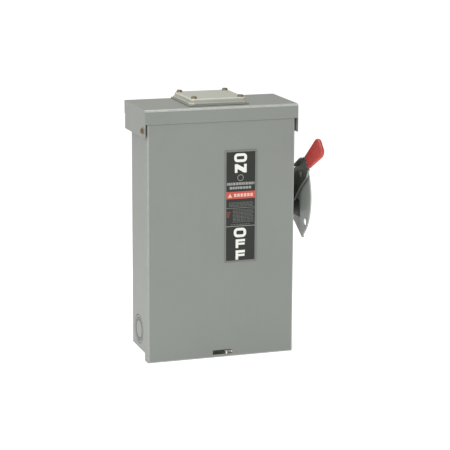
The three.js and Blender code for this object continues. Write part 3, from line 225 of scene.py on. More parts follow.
def enamel_finish(name, base, folded):
    """Baked enamel on sheet steel: orange peel, faint cloudiness, a painted highlight that lightens
    the folds, and painted shade that darkens scored grooves.
    """
    made = Finish(name, metallic=0.0, coat_roughness=0.2, specular_ior_level=0.3)
    cloud = made.noise(85, detail=2)
    mottle = made.noise(11, detail=4, roughness=0.6)
    streak = made.noise(7, detail=3, stretch=(1, 1, 0.07))
    speck = made.noise(1.7, detail=2, roughness=0.7).rising(0.66, 0.72)
    dark = tuple(0.93 * c for c in base)
    light = tuple(1.06 * c for c in base)
    tone = made.mix((cloud * 0.6 + mottle * 0.3 + streak * 0.2 - 0.05).clamped(), dark, light)
    dust = made.mix(speck * 0.25, tone, DUST)
    # Painted highlight: the folds are lightened towards the folded colour, with a little variation
    # along them.
    fold_highlight = made.folds() * (0.75 + 0.25 * made.noise(6, detail=4).rising(0.35, 0.65))
    with_fold_highlight = made.mix(fold_highlight.clamped(), dust, folded)
    # Painted shade: the scored grooves are darkened.
    made.set("Base Color", made.mix(made.grooves() * 0.75, with_fold_highlight, GROOVE_PAINTED_SHADE))
    made.set("Roughness", (0.36 + 0.10 * mottle + 0.05 * streak - 0.08 * fold_highlight).clamped())
    made.set("Coat Weight", (0.04 + 0.08 * cloud + 0.3 * fold_highlight).clamped())
    peel = made.noise(1.5, detail=2, roughness=0.45)
    wave = made.noise(60, detail=1)
    made.bump(peel + wave * 6.0, 0.035)
    return made


def zinc_finish(name, cool, warm, tarnish, rough=0.32, wear_and_highlight=0.0):
    """Zinc plate on steel: drawn grain, cloudy tint, dull spots, and edges lightened both by rubbed
    wear and as a painted highlight.
    """
    made = Finish(name, metallic=1.0)
    grain = made.noise(0.5, detail=3, stretch=(1, 1, 0.12))
    cloud = made.noise(7, detail=3)
    spot = made.noise(2.2, detail=4, roughness=0.65).rising(0.56, 0.70)
    tone = made.mix(cloud.rising(0.35, 0.65), cool, warm)
    plated = made.mix(spot * 0.55, tone, tarnish)
    # The edges are lightened, partly as rubbed wear and partly as a painted highlight.
    rubbed = made.folds() * wear_and_highlight
    made.set("Base Color", made.mix(rubbed, plated, RUBBED_STEEL_AND_HIGHLIGHT))
    made.set("Roughness", (rough + 0.12 * grain + 0.25 * spot - 0.1 * rubbed).clamped())
    made.bump(grain * 0.6 + spot * 0.4, 0.02)
    return made


def vinyl_finish():
    """Dipped red vinyl: soft sheen, slow waviness, fine pores and scuffed edges."""
    made = Finish("red_vinyl", metallic=0.0, subsurface_weight=0.0)
    cloud = made.noise(16, detail=3)
    pore = made.cells(0.9)
    scuff = made.folds() * made.noise(2.5, detail=4).rising(0.5, 0.66)
    tone = made.mix(cloud.rising(0.3, 0.7), (0.345, 0.040, 0.035), (0.45, 0.060, 0.050))
    made.set("Base Color", made.mix(scuff * 0.4, tone, (0.58, 0.17, 0.14)))
    made.set("Roughness", (0.40 + 0.16 * cloud + 0.15 * scuff).clamped())
    made.bump(pore.rising(0.0, 0.45) * 0.5 + cloud * 3.0, 0.05)
    return made


def moulding_finish(name, dark, light, rough=0.48):
    """Thermoset moulding: fine grain, flow marks and rubbed edges."""
    made = Finish(name, metallic=0.0)
    grain = made.noise(0.55, detail=2, roughness=0.6)
    flow = made.noise(24, detail=3, stretch=(1, 1, 0.35))
    rub = made.folds() * made.noise(4, detail=3).rising(0.35, 0.65)
    tone = made.mix((flow * 0.8 + grain * 0.3).clamped(), dark, light)
    made.set("Base Color", made.mix(rub * 0.35, tone, tuple(2.2 * c + 0.03 for c in light)))
    made.set("Roughness", (rough + 0.12 * grain - 0.08 * rub).clamped())
    made.bump(grain, 0.04)
    return made


def copper_finish(name, bright, dull, tarnish):
    """Rolled bar stock: long rolling lines, warm clouding and scattered darker stains."""
    made = Finish(name, metallic=1.0)
    line = made.noise(0.45, detail=3, stretch=(1, 1, 0.05))
    cloud = made.noise(10, detail=4)
    stain = made.noise(3.5, detail=4, roughness=0.6).rising(0.55, 0.72)
    tone = made.mix(cloud.rising(0.3, 0.7), bright, dull)
    made.set("Base Color", made.mix(stain * 0.6, tone, tarnish))
    made.set("Roughness", (0.24 + 0.14 * line + 0.22 * stain).clamped())
    made.bump(line, 0.02)
    return made


def rubber_finish():
    """Grey sponge gasket: open skin with small pits."""
    made = Finish("sponge_rubber", metallic=0.0)
    pit = made.cells(1.1).rising(0.1, 0.5)
    cloud = made.noise(12, detail=3)
    made.set("Base Color", made.mix(cloud, (0.24, 0.25, 0.225), (0.31, 0.32, 0.285)))
    made.set("Roughness", (0.78 + 0.15 * cloud).clamped())
    made.bump(pit, 0.12)
    return made


BAND_HALF = 14 * MM
PRINT_HALF = 11 * MM
PRINT_PITCH = 3.4 * MM


def fibre_finish():
    """Fuse tube: wound fibre with a paper band that carries plain bars."""
    made = Finish("wound_fibre", metallic=0.0)
    _, _, z = made.axes()
    wound = made.noise(1.3, detail=3, stretch=(0.3, 0.3, 1))
    cloud = made.noise(9, detail=3)
    tube = made.mix(cloud, (0.34, 0.29, 0.20), (0.44, 0.38, 0.27))
    low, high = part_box("fuse_1_tube")
    middle = (low.z + high.z) / 2
    band = z.within(middle - BAND_HALF, middle + BAND_HALF, 0.3 * MM)
    rows = (z / PRINT_PITCH).math("FRACT").within(0.25, 0.62, 0.05)
    words = made.noise(2.6, detail=0, stretch=(1, 1, 0.2)).rising(0.47, 0.50)
    ink = rows * words * z.within(middle - PRINT_HALF, middle + PRINT_HALF, 0.2 * MM)
    paper = made.mix(ink * 0.85, (0.62, 0.60, 0.53), (0.08, 0.10, 0.16))
    made.set("Base Color", made.mix(band, tube, paper))
    made.set("Roughness", (0.72 - 0.12 * band + 0.1 * wound).clamped())
    made.bump(wound * (1 - band), 0.05)
    return made


def shield_finish():
    """Clear sheet over the line terminals, a little hazy and scratched."""
    made = Finish("clear_sheet", metallic=0.0, ior=1.5)
    haze = made.noise(30, detail=3)
    scratch = made.noise(1.2, detail=3, stretch=(1, 0.1, 0.1)).rising(0.64, 0.72)
    edge = made.folds()
    made.set("Base Color", made.mix(haze, (0.74, 0.80, 0.78), (0.82, 0.86, 0.84)))
    made.set("Roughness", (0.12 + 0.1 * haze + 0.3 * scratch).clamped())
    made.set("Alpha", (0.16 + 0.06 * haze + 0.12 * scratch + 0.35 * edge).clamped())
    made.bump(scratch, 0.02)
    return made


def film_finish(name, ground, lift):
    """Printed film: slightly satin, a fine grain, dulled by handling."""
    made = Finish(name, metallic=0.0, specular_ior_level=0.18)
    cloud = made.noise(18, detail=4)
    grain = made.noise(0.8, detail=2)
    made.set("Base Color", made.mix((cloud * 0.7 + grain * 0.3).clamped(), ground, lift))
    made.set("Roughness", (0.40 + 0.18 * cloud).clamped())
    made.bump(grain + cloud * 2.0, 0.012)
    return made


FINISHES = {
    # The second colour of each enamel is the painted highlight on its folds.
    "enamel": enamel_finish("grey_enamel", (0.215, 0.229, 0.212), (0.40, 0.42, 0.40)),
    "pale_enamel": enamel_finish("pale_enamel", (0.36, 0.365, 0.325), (0.55, 0.56, 0.50)),
    # The guard's enamel is a lighter copy of the box's, as painted light for the light the box keeps
    # off it.
    "guard_enamel_painted_light": enamel_finish("guard_enamel_painted_light", (0.35, 0.373, 0.35), (0.42, 0.44, 0.42)),
    "red_vinyl": vinyl_finish(),
    "bright_zinc": zinc_finish(
        "bright_zinc", (0.58, 0.60, 0.62), (0.66, 0.66, 0.64), (0.30, 0.30, 0.29)
    ),
    "yellow_zinc": zinc_finish(
        "yellow_zinc",
        (0.22, 0.19, 0.13),
        (0.31, 0.25, 0.15),
        (0.07, 0.055, 0.04),
        rough=0.42,
        wear_and_highlight=0.6,
    ),
    # Very dark zinc; on the latch plates its darkness is painted shade inside the latch slot.
    "dull_zinc": zinc_finish(
        "dull_zinc",
        (0.055, 0.052, 0.040),
        (0.085, 0.078, 0.055),
        (0.03, 0.028, 0.02),
        rough=0.55,
        wear_and_highlight=0.3,
    ),
    "dark_zinc": zinc_finish(
        "dark_zinc",
        (0.27, 0.29, 0.27),
        (0.35, 0.355, 0.315),
        (0.14, 0.147, 0.135),
        rough=0.45,
        wear_and_highlight=0.2,
    ),
    "spring_steel": zinc_finish(
        "spring_steel", (0.30, 0.31, 0.33), (0.38, 0.38, 0.38), (0.12, 0.11, 0.10), rough=0.26
    ),
    "aluminium": zinc_finish(
        "extruded_aluminium", (0.62, 0.63, 0.65), (0.70, 0.70, 0.70), (0.42, 0.42, 0.42), rough=0.30
    ),
    "copper": copper_finish("copper", (0.72, 0.33, 0.18), (0.58, 0.25, 0.14), (0.25, 0.12, 0.08)),
    "tinned_copper": copper_finish(
        "tinned_copper", (0.62, 0.60, 0.56), (0.54, 0.51, 0.46), (0.36, 0.28, 0.20)
    ),
    "moulding": moulding_finish("black_moulding", (0.016, 0.017, 0.018), (0.030, 0.030, 0.032)),
    "label": film_finish("black_film", (0.024, 0.026, 0.023), (0.036, 0.038, 0.034)),
    "label_edge": film_finish("label_edge", (0.155, 0.165, 0.155), (0.185, 0.197, 0.185)),
    "white_ink": film_finish("white_ink", (0.66, 0.67, 0.64), (0.76, 0.77, 0.73)),
    "grey_ink": film_finish("grey_ink", (0.25, 0.26, 0.25), (0.32, 0.33, 0.31)),
    "dim_ink": film_finish("dim_ink", (0.095, 0.10, 0.098), (0.13, 0.135, 0.13)),
    "pink_ink": film_finish("pink_ink", (0.62, 0.40, 0.36), (0.70, 0.48, 0.44)),
    "red_ink": film_finish("red_ink", (0.42, 0.075, 0.05), (0.52, 0.10, 0.075)),
    "fibre": fibre_finish(),
    "clear_sheet": shield_finish(),
    "rubber": rubber_finish(),
}


# ---- Making pieces ----

SMOOTH_BELOW = math.radians(42)
RIM_ABOVE = math.radians(60)
HARD_ABOVE = math.radians(48)
FLAT_WITHIN = math.radians(0.8)


def make_piece(name, bm, finish, body, replaces=(), thickness=None, rim=None):
    """Turns a bmesh into a finished piece that rides on a body, with an optional sheet thickness."""
    mesh = bpy.data.meshes.new(name)
    bm.to_mesh(mesh)
    bm.free()
    mesh.shade_smooth()
    mesh.set_sharp_from_angle(angle=SMOOTH_BELOW)
    mesh.materials.append(FINISHES[finish].material)
    piece = bpy.data.objects.new(name, mesh)
    bpy.context.scene.collection.objects.link(piece)
    if thickness:
        sheet = piece.modifiers.new("sheet", "SOLIDIFY")
        sheet.thickness = thickness
        sheet.offset = -1
        sheet.use_even_offset = True
    if rim:
        soft = piece.modifiers.new("rim", "BEVEL")
        soft.width = rim
        soft.segments = 2
        soft.limit_method = "ANGLE"
        soft.angle_limit = RIM_ABOVE
    even = piece.modifiers.new("even_flats", "WEIGHTED_NORMAL")
    even.keep_sharp = True
    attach(piece, body)
    if replaces:
        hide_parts(*replaces)


def slab(bm, low, high):
    """A block between two corners, as one box of six faces."""
    low = Vector(low)
    high = Vector(high)
    made = bmesh.ops.create_cube(bm, size=1)
    bmesh.ops.scale(bm, vec=high - low, verts=made["verts"])
    bmesh.ops.translate(bm, vec=(low + high) / 2, verts=made["verts"])


def rounded(bm, edges, radius, segments=3, mark=1.0):
    """Rounds edges, and marks the new faces as folds with that weight, which the finishes show as
    painted highlight and wear.
    """
    fold = bm.faces.layers.float.get("fold") or bm.faces.layers.float.new("fold")
    made = bmesh.ops.bevel(
        bm,
        geom=list(edges),
        offset=radius,
        offset_type="OFFSET",
        affect="EDGES",
        segments=segments,
        profile=0.5,
        material=-1,
        clamp_overlap=True,
    )
    for face in made["faces"]:
        face[fold] = mark


def hard_edges(bm, above=HARD_ABOVE):
    return [e for e in bm.edges if len(e.link_faces) == 2 and e.calc_face_angle(0) > above]


def edges_along(bm, axis, test):
    """Straight edges along an axis whose middle passes the test."""
    found = []
    for edge in bm.edges:
        run = (edge.verts[1].co - edge.verts[0].co).normalized()
        middle = (edge.verts[0].co + edge.verts[1].co) / 2
        if abs(run.dot(axis)) > SQUARE_ON and test(middle):
            found.append(edge)
    return found


def remove_faces(bm, test):
    """Deletes the faces whose normal and middle pass the test."""
    gone = [f for f in bm.faces if test(f.normal, f.calc_center_median())]
    bmesh.ops.delete(bm, geom=gone, context="FACES")


def split_at(bm, point, normal):
    """Cuts every face that a plane crosses, and keeps both sides."""
    geometry = list(bm.verts) + list(bm.edges) + list(bm.faces)
    bmesh.ops.bisect_plane(bm, geom=geometry, plane_co=point, plane_no=normal)


def prism(bm, corners, along):
    """A flat outline given a thickness."""
    face = bm.faces.new([bm.verts.new(c) for c in corners])
    made = bmesh.ops.extrude_face_region(bm, geom=[face])
    moved = [g for g in made["geom"] if isinstance(g, bmesh.types.BMVert)]
    bmesh.ops.translate(bm, vec=along, verts=moved)
    bmesh.ops.recalc_face_normals(bm, faces=bm.faces)


def turned(bm, profile, origin, axis, steps=32):
    """A solid of revolution. The profile is (radius, distance along the axis) from end to end."""
    axis = Vector(axis)
    side = axis.orthogonal().normalized()
    points = [bm.verts.new(Vector(origin) + side * r + axis * h) for r, h in profile]
    edges = [bm.edges.new(pair) for pair in zip(points, points[1:])]
    bmesh.ops.spin(
        bm,
        geom=points + edges,
        cent=origin,
        axis=axis,
        angle=FULL_TURN,
        steps=steps,
        use_merge=True,
    )
    bmesh.ops.remove_doubles(bm, verts=bm.verts, dist=SAME_POINT)
    bmesh.ops.recalc_face_normals(bm, faces=bm.faces)


def refined(node, edge_radius, finish):
    """A finer copy of a frame part: doubles merged, flats joined and hard edges rounded."""
    bm = bmesh.new()
    bm.from_mesh(frame["nodes"][node].data)
    bmesh.ops.remove_doubles(bm, verts=bm.verts, dist=SAME_POINT)
    bmesh.ops.dissolve_limit(
        bm,
        angle_limit=FLAT_WITHIN,
        verts=bm.verts,
        edges=bm.edges,
        use_dissolve_boundaries=False,
        delimit={"NORMAL"},
    )
    # Every hard edge is marked at full weight, so the finishes paint a highlight and wear along it.
    rounded(bm, hard_edges(bm), edge_radius, 2)
    slot = SLOT_OF[node]
    make_piece(node + "_made", bm, finish or slot, BODY_OF[node], (node,))


# ---- Sheet steel ----

SHEET = 1.5 * MM
CUT_EDGE = 0.25 * MM  # rounding of a sheared edge
COVER_FOLD = 2.2 * MM
FOLD_CLEAR = 2.3 * MM  # how far behind the front the fold has ended
EAR_OVER_HINGE = 3.5 * MM
SLOT_BESIDE_STAPLE = 9.4 * MM
SLOT_BESIDE_CATCH = 1.0 * MM
SLOT_FLOOR = 4.8 * MM  # above the bottom of the cover
SLOT_CEILING = 11.2 * MM
HOOD_LIP = 21 * MM
HOOD_LAP = 19 * MM
HOOD_LAP_DEPTH = 2.4 * MM
HOOD_FRONT_FOLD = 3.0 * MM
HOOD_CORNER = 1.3 * MM
CORNER_CLEAR = 1.6 * MM
HUB_FLANGE = 1.9 * MM
HUB_CORNER = 8.0 * MM
HUB_STEP = 2.0 * MM
HUB_DRAW = 0.985
HUB_CROWN = 1.9 * MM
RING_DEPTH = 0.7 * MM
SMALL_RING = 14.1 * MM
LARGE_RING = 17.3 * MM


def make_cover():
    """The front cover: a folded tray, open at its top and rear, with a latch slot."""
    low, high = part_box("front_cover")
    staple_low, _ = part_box("latch_staple")
    _, catch_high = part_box("cover_catch")
    _, hinge_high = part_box("hinge_screw_left")
    bm = bmesh.new()
    slab(bm, low, high)
    remove_faces(bm, lambda n, c: n.y > FACING or n.z > FACING)
    front = low.y + ON_FACE
    side_folds = edges_along(bm, UP, lambda m: m.y < front)
    bottom_fold = edges_along(bm, RIGHT, lambda m: m.y < front and m.z < low.z + ON_FACE)
    # The folds are marked at 0.45, for a painted highlight along them.
    rounded(bm, side_folds + bottom_fold, COVER_FOLD, 5, 0.45)
    # The side flanges end as ears below the top of the front.
    ear_top = hinge_high.z + EAR_OVER_HINGE
    flange_front = low.y + FOLD_CLEAR
    split_at(bm, (0, 0, ear_top), UP)
    remove_faces(
        bm, lambda n, c: abs(n.x) > SQUARE_ON and c.z > ear_top and c.y > flange_front
    )
    # Latch slot in the front.
    left, right = staple_low.x - SLOT_BESIDE_STAPLE, catch_high.x + SLOT_BESIDE_CATCH
    floor, ceiling = low.z + SLOT_FLOOR, low.z + SLOT_CEILING
    for x in (left, right):
        split_at(bm, (x, 0, 0), RIGHT)
    for z in (floor, ceiling):
        split_at(bm, (0, 0, z), UP)
    remove_faces(
        bm,
        lambda n, c: n.y < -SQUARE_ON and left < c.x < right and floor < c.z < ceiling,
    )
    make_piece(
        "front_cover_made", bm, "enamel", "cover", ("front_cover",), SHEET, CUT_EDGE
    )


def make_hood():
    """The rain hood: top, front lip and two deeper side skirts folded from one sheet."""
    low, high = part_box("top_hood")
    lip_bottom = high.z - HOOD_LIP
    lap_bottom = high.z - HOOD_LAP
    lap_front = high.y - HOOD_LAP_DEPTH
    front, top, side = low.y + ON_FACE, high.z - ON_FACE, high.x - ON_FACE
    bm = bmesh.new()
    slab(bm, low, high)
    remove_faces(bm, lambda n, c: n.y > FACING or n.z < -FACING)
    top_front = edges_along(bm, RIGHT, lambda m: m.y < front and m.z > top)
    # The top front fold is marked at full weight, for a bright painted highlight along it.
    rounded(bm, top_front, HOOD_FRONT_FOLD, 6)
    top_sides = edges_along(bm, REAR, lambda m: m.z > top and abs(m.x) > side)
    corners = edges_along(bm, UP, lambda m: m.y < front and abs(m.x) > side)
    # The side folds and corners are marked at 0.35, for a fainter painted highlight.
    rounded(bm, top_sides + corners, HOOD_CORNER, 3, 0.35)
    split_at(bm, (0, 0, lip_bottom), UP)
    split_at(bm, (0, 0, lap_bottom), UP)
    split_at(bm, (0, lap_front, 0), REAR)
    inner = high.x - CORNER_CLEAR
    remove_faces(bm, lambda n, c: abs(c.x) < inner and n.y < -0.7 and c.z < lip_bottom)
    remove_faces(bm, lambda n, c: abs(n.x) > 0.7 and c.y > lap_front and c.z < lap_bottom)
    make_piece(
        "top_hood_made", bm, "enamel", "enclosure", ("top_hood",), SHEET, CUT_EDGE
    )


def make_hub_plate():
    """A pressed closure plate: thin flange with rounded corners and a raised middle."""
    low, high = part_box("hub_closure_plate")
    centre = (low + high) / 2
    bm = bmesh.new()
    flange_top = low.z + HUB_FLANGE
    slab(bm, low, (high.x, high.y, flange_top))
    rounded(bm, edges_along(bm, UP, lambda m: True), HUB_CORNER, 6)
    top = [f for f in bm.faces if f.normal.z > FACING]
    bmesh.ops.inset_region(bm, faces=top, thickness=HUB_STEP)
    raised = bmesh.ops.extrude_face_region(bm, geom=[f for f in bm.faces if f in top])
    lifted = [g for g in raised["geom"] if isinstance(g, bmesh.types.BMVert)]
    bmesh.ops.delete(bm, geom=top, context="FACES_ONLY")
    bmesh.ops.translate(bm, vec=UP * (high.z - flange_top), verts=lifted)
    draw_in = Matrix.Translation(centre) @ Matrix.Diagonal((HUB_DRAW, HUB_DRAW, 1, 1))
    bmesh.ops.transform(bm, matrix=draw_in @ Matrix.Translation(-centre), verts=lifted)
    bmesh.ops.recalc_face_normals(bm, faces=bm.faces)
    crown = [
        edge
        for edge in hard_edges(bm, math.radians(30))
        if min(v.co.z for v in edge.verts) > high.z - ON_FACE
    ]
    # The rounded crown is marked at full weight, for a painted highlight along its ridge.
    rounded(bm, crown, HUB_CROWN, 5)
    # The sloped sides are marked as folds too, so the pale enamel lightens them as painted
    # highlight.
    fold = bm.faces.layers.float.get("fold")
    for face in bm.faces:
        if 0.2 < face.normal.z < 0.99:
            face[fold] = 0.6
    make_piece(
        "hub_closure_plate_made",
        bm,
        "pale_enamel",
        "enclosure",
        ("hub_closure_plate",),
        rim=0.3 * MM,
    )


def make_knockout(node, axis, ring_radii):
    """A slug with scored rings, seen as concentric steps."""
    low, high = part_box(node)
    centre = (low + high) / 2
    radius = max(high - low) / 2
    axis = Vector(axis)
    half = 0.5 * SHEET
    outer = half - 0.1 * MM
    rim = radius - 0.9 * MM
    deep = outer - RING_DEPTH
    profile = [(0, -half), (radius, -half), (radius, deep), (rim, outer)]
    for r in ring_radii:
        profile += [(r + 0.5 * MM, outer), (r, deep), (r - 0.6 * MM, deep), (r - 1.1 * MM, outer)]
    profile.append((0, outer))
    bm = bmesh.new()
    turned(bm, profile, centre, axis, 48)
    # The groove faces get painted shade from the enamel.
    groove = bm.faces.layers.float.new("groove")
    for face in bm.faces:
        height = (face.calc_center_median() - centre).dot(axis)
        face[groove] = 1.0 if -half * 0.9 < height < outer - 0.1 * MM else 0.0
    make_piece(node + "_made", bm, "enamel", "enclosure", (node,))


# ---- Fasteners ----


HUB_WASHER = (4.6 * MM, 0.8 * MM)  # radius and thickness
HUB_HEX = 6.6 * MM  # across flats
HUB_SHANK = 2.4 * MM
HINGE_WASHER = (5.0 * MM, 0.9 * MM)
HINGE_HEX = 6.4 * MM
HINGE_SHOULDER = 5.0 * MM
HINGE_SHANK = 3.0 * MM
SEAT_LIFT = 0.05 * MM
DRIVER_SLOT_HALF = 0.55 * MM
DRIVER_SLOT_DEPTH = 0.9 * MM


def hex_head(bm, seat, axis, washer_size, across_flats, height):
    """A slotted hex washer head that starts at its seat and stands along the axis."""
    axis = Vector(axis)
    seat = Vector(seat)
    radius, washer = washer_size
    rim = 0.25 * washer
    turned(
        bm,
        [(0, 0), (radius, 0), (radius, washer - rim), (radius - rim, washer), (0, washer)],
        seat,
        axis,
        28,
    )
    made = bmesh.ops.create_cone(
        bm,
        cap_ends=True,
        segments=6,
        radius1=across_flats / math.sqrt(3),
        radius2=across_flats / math.sqrt(3),
        depth=height,
    )
    turn = UP.rotation_difference(axis).to_matrix().to_4x4()
    place = Matrix.Translation(seat + axis * (washer + height / 2 - SEAT_LIFT)) @ turn
    bmesh.ops.transform(bm, matrix=place, verts=made["verts"])
    # Cut the driver slot as a channel across the head's top.
    across = axis.orthogonal().normalized()
    half = DRIVER_SLOT_HALF
    head = set(made["verts"])
    for side in (-half, half):
        geometry = [g for g in list(bm.verts) + list(bm.edges) + list(bm.faces) if in_head(g, head)]
        cut = bmesh.ops.bisect_plane(
            bm, geom=geometry, plane_co=seat + across * side, plane_no=across
        )
        head.update(g for g in cut["geom_cut"] if isinstance(g, bmesh.types.BMVert))
    floor = [
        f
        for f in bm.faces
        if f.normal.dot(axis) > FACING
        and abs((f.calc_center_median() - seat).dot(across)) < half * 0.9
        and (f.calc_center_median() - seat).dot(axis) > height * 0.8
    ]
    pressed = bmesh.ops.extrude_face_region(bm, geom=floor)
    sunk = [g for g in pressed["geom"] if isinstance(g, bmesh.types.BMVert)]
    bmesh.ops.delete(bm, geom=[f for f in floor if f.is_valid], context="FACES_ONLY")
    bmesh.ops.translate(bm, vec=-axis * DRIVER_SLOT_DEPTH, verts=sunk)


def in_head(part, head):
    """Whether a corner, an edge or a face belongs to the head's corners."""
    if isinstance(part, bmesh.types.BMVert):
        return part in head
    return all(v in head for v in part.verts)


HUB_SCREWS = [f"hub_screw_{number}" for number in range(1, 5)]


def make_hub_screws():
    """The four screws of the hub plate, each a head on a short shank."""
    plate_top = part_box("hub_closure_plate")[1].z
    for node in HUB_SCREWS:
        low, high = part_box(node)
        centre = (low + high) / 2
        seat = plate_top + SEAT_LIFT
        shank = plate_top - low.z
        bm = bmesh.new()
        hex_head(
            bm,
            (centre.x, centre.y, seat),
            UP,
            HUB_WASHER,
            HUB_HEX,
            high.z - seat - HUB_WASHER[1],
        )
        turned(
            bm,
            [(0, 0), (HUB_SHANK, 0), (HUB_SHANK, shank), (0, shank)],
            (centre.x, centre.y, low.z),
            UP,
            16,
        )
        make_piece(node + "_made", bm, "yellow_zinc", "enclosure", (node,))


def make_hinge_screws():
    """The two shoulder screws that the cover turns on."""
    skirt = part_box("top_hood")[1].x
    for node, axis in (("hinge_screw_left", -RIGHT), ("hinge_screw_right", RIGHT)):
        low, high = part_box(node)
        centre = (low + high) / 2
        side = axis.x
        tip = max(abs(low.x), abs(high.x))
        inner = min(abs(low.x), abs(high.x))
        bm = bmesh.new()
        seat = skirt + 2 * SEAT_LIFT
        hex_head(
            bm,
            (side * seat, centre.y, centre.z),
            axis,
            HINGE_WASHER,
            HINGE_HEX,
            tip - seat - HINGE_WASHER[1],
        )
        shank = skirt - inner
        turned(
            bm,
            [
                (0, 0),
                (HINGE_SHOULDER, 0),
                (HINGE_SHOULDER, 2.6 * MM),
                (HINGE_SHANK, 2.8 * MM),
                (HINGE_SHANK, shank),
                (0, shank),
            ],
            (side * inner, centre.y, centre.z),
            axis,
            20,
        )
        make_piece(node + "_made", bm, "yellow_zinc", "enclosure", (node,))


# ---- Label ----

LETTER_STROKE = 4.0 * MM
FILM = 0.05 * MM
INK = 0.06 * MM
LETTER_INK = 0.09 * MM
LABEL_CORNER = 1.5 * MM
MARGIN_LEFT = 2.6 * MM
MARGIN_RIGHT = 3.2 * MM
MARGIN_BOTTOM = 2.8 * MM
MARGIN_TOP = 2.6 * MM
MARK_MIDDLE = 24.0 * MM  # from the label's left edge
MARK_RADII = (3.9 * MM, 4.7 * MM)
BAND_HEIGHTS = (50.4 * MM, 61.0 * MM)
SIGN_HEIGHTS = (52.6 * MM, 58.2 * MM)


def letter_o(low, high):
    """A round-cornered ring between two corners."""
    bm = bmesh.new()
    slab(bm, low, high)
    rounded(bm, edges_along(bm, REAR, lambda m: True), 0.42 * (high[2] - low[2]), 7, 0.0)
    caps = [f for f in bm.faces if abs(f.normal.y) > FACING]
    bmesh.ops.inset_individual(bm, faces=caps, thickness=LETTER_STROKE, use_even_offset=True)
    inner = {e for f in caps for e in f.edges}
    bmesh.ops.delete(bm, geom=caps, context="FACES_ONLY")
    bmesh.ops.bridge_loops(bm, edges=list(inner))
    bmesh.ops.recalc_face_normals(bm, faces=bm.faces)
    return bm


def letter_n(low, high):
    """Two uprights with a slanting stroke between them."""
    left, right = low[0] + LETTER_STROKE, high[0] - LETTER_STROKE
    slant = 0.55 * (high[2] - low[2])
    outline = [
        (low[0], low[2]),
        (left, low[2]),
        (left, high[2] - slant),
        (right, low[2]),
        (high[0], low[2]),
        (high[0], high[2]),
        (right, high[2]),
        (right, low[2] + slant),
        (left, high[2]),
        (low[0], high[2]),
    ]
    return cut_letter(outline, low, high)


def letter_f(low, high):
    """An upright with two arms, the lower one a little shorter and thinner."""
    left = low[0] + LETTER_STROKE
    arm = 0.27 * (high[2] - low[2])
    waist = low[2] + 0.36 * (high[2] - low[2])
    short = high[0] - 0.5 * MM
    outline = [
        (low[0], low[2]),
        (left, low[2]),
        (left, waist),
        (short, waist),
        (short, waist + 0.9 * arm),
        (left, waist + 0.9 * arm),
        (left, high[2] - arm),
        (high[0], high[2] - arm),
        (high[0], high[2]),
        (low[0], high[2]),
    ]
    return cut_letter(outline, low, high)


def cut_letter(outline, low, high):
    """A letter from its outline in x and z, as thick as its two corners say."""
    bm = bmesh.new()
    prism(bm, [(x, high[1], z) for x, z in outline], -REAR * (high[1] - low[1]))
    return bm


def word_bars(bm, front, low_x, high_x, low_z, height, dice, longest):
    """A line of plain bars, none over `longest` millimetres, between two values of x."""
    x = low_x
    while x < high_x - 1.2 * MM:
        end = min(x + dice.uniform(1.8, longest) * MM, high_x)
        slab(bm, (x, front - INK, low_z), (end, front, low_z + height))
        x = end + dice.uniform(0.6, 1.1) * MM


